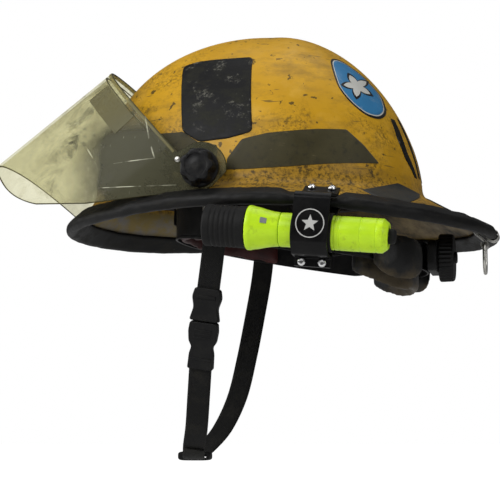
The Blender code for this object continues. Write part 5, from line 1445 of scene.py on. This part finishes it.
def make_slider(line, plastic):
    tangent = (line[145] - line[135]).normalized()
    place = oriented(line[140], tangent)
    long, front, rear = 5.0 * MM, -14.9 * MM, 14.0 * MM
    sections = []
    for k in range(48):
        a = 2 * pi * k / 48
        c, s = cos(a), sin(a)
        w = (rear - front) / 2 * (1 if c > 0 else -1) * abs(c) ** 0.35 + (rear + front) / 2
        t = 4.0 * MM * (1 if s > 0 else -1) * abs(s) ** 0.5
        iw = 10.6 * MM * (1 if c > 0 else -1) * abs(c) ** 0.3
        it = 2.5 * MM * (1 if s > 0 else -1) * abs(s) ** 0.4
        sections.append([place(-long, w * 0.97, t * 0.9), place(-long * 0.8, w, t), place(long * 0.8, w, t),
                         place(long, w * 0.97, t * 0.9), place(long, iw, it), place(-long, iw, it)])
    points, faces = skin_loop(sections)
    build_mesh("slider_frame", points, faces, plastic, "chin_strap", "black_plastic", ("chin_slider",), angle=45)


# ------------------------------------------------------------------ hanging ring

def make_ring(steel):
    ring_x, ring_z, wire, half, tall = 169.0 * MM, -12.3 * MM, 1.5 * MM, 11.0 * MM, 24.0 * MM
    drop = tall - half
    corner = 3.0 * MM
    route = [(y * MM, 0.0) for y in range(-8, 9)]
    for k in range(1, 9):
        a = pi / 2 - k * pi / 16
        route.append((half - corner + corner * cos(a), -corner + corner * sin(a)))
    for k in range(0, 41):
        a = -pi * k / 40
        route.append((half * cos(a), -drop + half * sin(a)))
    for k in range(8, 0, -1):
        a = pi / 2 - k * pi / 16
        route.append((-(half - corner + corner * cos(a)), -corner + corner * sin(a)))
    clean = [route[0]]
    for p in route[1:]:
        if hypot(p[0] - clean[-1][0], p[1] - clean[-1][1]) > 0.05 * MM:
            clean.append(p)
    sections = []
    for k, (y, z) in enumerate(clean):
        before, after = clean[k - 1], clean[(k + 1) % len(clean)]
        tangent = Vector((0, after[0] - before[0], after[1] - before[1])).normalized()
        up = tangent.cross(Vector((1, 0, 0)))
        middle = Vector((ring_x, y, ring_z + z))
        sections.append([middle + Vector((1, 0, 0)) * wire * cos(2 * pi * j / 20) + up * wire * sin(2 * pi * j / 20)
                         for j in range(20)])
    points, faces = skin_loop(sections)
    build_mesh("d_ring", points, faces, steel, "ring", "plated_steel", ("hanging_ring",), angle=60)


# ------------------------------------------------------------------ stage, light and camera

def make_stage():
    f = Finish("pale_floor", Roughness=0.85)
    f.colour(f.mix(f.noise(3.0, 3, 0.5), (0.90, 0.90, 0.90), (0.93, 0.93, 0.93)))
    f.shader.inputs["Emission Color"].default_value = (1, 1, 1, 1)
    seen = f.add("LightPath").outputs["Is Camera Ray"]
    f.link(f.maths("MULTIPLY", seen, 0.95), f.shader.inputs["Emission Strength"])
    mesh = bpy.data.meshes.new("floor")
    count, radius, z = 96, 14.0, -0.235
    ring = [(radius * cos(2 * pi * k / count), radius * sin(2 * pi * k / count), z) for k in range(count)]
    mesh.from_pydata(ring, [], [tuple(range(count))])
    mesh.materials.append(f.material)
    floor = bpy.data.objects.new("floor", mesh)
    bpy.context.scene.collection.objects.link(floor)

    world = bpy.data.worlds.new("studio")
    bpy.context.scene.world = world
    world.use_nodes = True
    tree = world.node_tree
    backdrop = tree.nodes["Background"]
    backdrop.inputs["Color"].default_value = (1, 1, 1, 1)
    backdrop.inputs["Strength"].default_value = 1.0
    room = tree.nodes.new("ShaderNodeBackground")
    room.inputs["Color"].default_value = (1, 1, 1, 1)
    room.inputs["Strength"].default_value = 0.11
    path = tree.nodes.new("ShaderNodeLightPath")
    blend = tree.nodes.new("ShaderNodeMixShader")
    tree.links.new(path.outputs["Is Camera Ray"], blend.inputs[0])
    tree.links.new(room.outputs[0], blend.inputs[1])
    tree.links.new(backdrop.outputs[0], blend.inputs[2])
    tree.links.new(blend.outputs[0], tree.nodes["World Output"].inputs["Surface"])

    for name, place, size, power in (("key", (-0.85, -1.35, 1.10), 1.1, 24.0), ("top", (0.15, 0.10, 1.7), 1.4, 7.0),
                                     ("rim", (1.2, -0.9, 0.5), 0.8, 5.0), ("left", (-1.5, -0.3, 0.4), 0.9, 8.0)):
        light = bpy.data.lights.new(name, 'AREA')
        light.shape = 'DISK'
        light.size = size
        light.energy = power
        made = bpy.data.objects.new(name, light)
        made.location = place
        aim = (Vector((-0.03, 0, 0.03)) - Vector(place)).to_track_quat('-Z', 'Y')
        made.rotation_euler = aim.to_euler()
        bpy.context.scene.collection.objects.link(made)


def make_camera():
    camera = bpy.data.cameras.new("camera")
    camera.sensor_width = 36.0
    camera.lens = 106.36
    camera.clip_end = 60.0
    made = bpy.data.objects.new("camera", camera)
    place = Vector((239.17, -1259.89, -175.90)) * MM
    back = (place - Vector((-35.53, 0.0, -10.94)) * MM).normalized()
    right = Vector((0, 0, 1)).cross(back).normalized()
    up = back.cross(right)
    made.matrix_world = Matrix.Translation(place) @ Matrix((right, up, back)).transposed().to_4x4()
    bpy.context.scene.collection.objects.link(made)
    bpy.context.scene.camera = made
    bpy.context.scene.view_settings.view_transform = 'Standard'


def dress():
    shell = shell_finish()
    trim = trim_finish()
    olive = band_finish()
    square = black_patch_finish()
    grey_sheet = rubbed("grey_sheet", (0.026, 0.027, 0.026), (0.085, 0.075, 0.045), (0.40, 0.6), 0.5, 70)
    inks = {"blue": patch_finish("blue_ink", (0.035, 0.20, 0.42), (0.25, 0.35, 0.42)),
            "white": patch_finish("white_ink", (0.62, 0.62, 0.58), (0.3, 0.28, 0.22)),
            "black": patch_finish("black_ink", (0.012, 0.013, 0.015), (0.06, 0.055, 0.045))}
    glassy = shield_finish()
    bead = shield_finish("shield_edge", (0.30, 0.50), (0.72, 0.68, 0.45), (0.42, 0.37, 0.17), 0.5)
    rim = shield_finish("shield_rim", (0.75, 0.95), (0.40, 0.38, 0.20), (0.075, 0.068, 0.026), 0.3)
    label = shield_finish("blank_label", (0.45, 0.70), (0.62, 0.60, 0.45), (0.235, 0.215, 0.115), 0.6)
    knob = rubbed("knob_nylon", (0.0065, 0.0065, 0.0070), (0.045, 0.043, 0.038), (0.30, 0.52), 0.55, 90)
    plastic = rubbed("moulded_nylon", (0.0048, 0.0048, 0.0050), (0.032, 0.030, 0.025), (0.36, 0.58), 0.4, 80)
    bezel = rubbed("bezel_rubber", (0.0060, 0.0060, 0.0060), (0.022, 0.021, 0.018), (0.5, 0.7), 0.4, 90)
    plate = rubbed("anodised_plate", (0.0022, 0.0022, 0.0024), (0.015, 0.014, 0.013), (0.26, 0.42), 0.35, 70, 900,
                   0.0001)
    steel = metal_finish("plated_steel_finish", (0.55, 0.54, 0.50))
    chrome = metal_finish("bright_screw", (0.72, 0.72, 0.72), (0.12, 0.28), 0.2)
    brass = metal_finish("turned_brass", (0.62, 0.46, 0.20))
    lime = lime_finish()
    webbing = webbing_finish()
    pad = cloth_finish("nape_cloth", (0.012, 0.012, 0.012), (0.004, 0.004, 0.004), (0.075, 0.055, 0.028), dirty=0.7,
                       low_stain=True)
    crown = cloth_finish("crown_cloth", (0.035, 0.035, 0.038), (0.010, 0.010, 0.012), (0.06, 0.05, 0.035), dirty=0.3)
    leather = leather_finish()
    foam = foam_finish()
    mirror = metal_finish("reflector_coat", (0.86, 0.86, 0.86), (0.04, 0.10), 0.05)
    lens = shield_finish("clear_lens", (0.06, 0.14), (0.95, 0.95, 0.95), (0.7, 0.7, 0.7), 0.2)
    print_white = patch_finish("plate_print", (0.55, 0.55, 0.53), (0.2, 0.2, 0.19))
    grey = rubbed("grey_tag", (0.20, 0.21, 0.22), (0.35, 0.35, 0.35), (0.3, 0.5), 0.4, 200)

    make_shell(shell)
    make_trim(trim)
    make_clip(steel)
    make_liner(foam)
    make_sheets(olive, square, grey_sheet, inks)
    make_shield(glassy, bead, rim, label, steel)
    make_knobs(knob)
    make_light(lime, bezel, lens, mirror, grey)
    make_bracket(plate, trim, chrome, print_white)
    make_suspension(plastic, webbing)
    make_pads(pad, leather, crown)
    make_ratchet(plastic)
    make_chin_strap(webbing, plastic, steel)
    make_ring(steel)
    for node, finish in (("pivot_spacer_left", plastic), ("pivot_spacer_right", plastic), ("pivot_bolt_left", steel),
                         ("pivot_bolt_right", steel), ("ring_plate", steel), ("contact_spring", steel),
                         ("ratchet_shaft", brass),
                         ("led_board", rubbed("board_white", (0.7, 0.7, 0.66), (0.4, 0.4, 0.35), amount=0.3)),
                         ("battery_front", rubbed("cell_wrap", (0.16, 0.18, 0.20), (0.3, 0.3, 0.3))),
                         ("battery_rear", rubbed("cell_wrap_rear", (0.16, 0.18, 0.20), (0.3, 0.3, 0.3)))):
        set_material(node, finish)


dress()
make_stage()
make_camera()
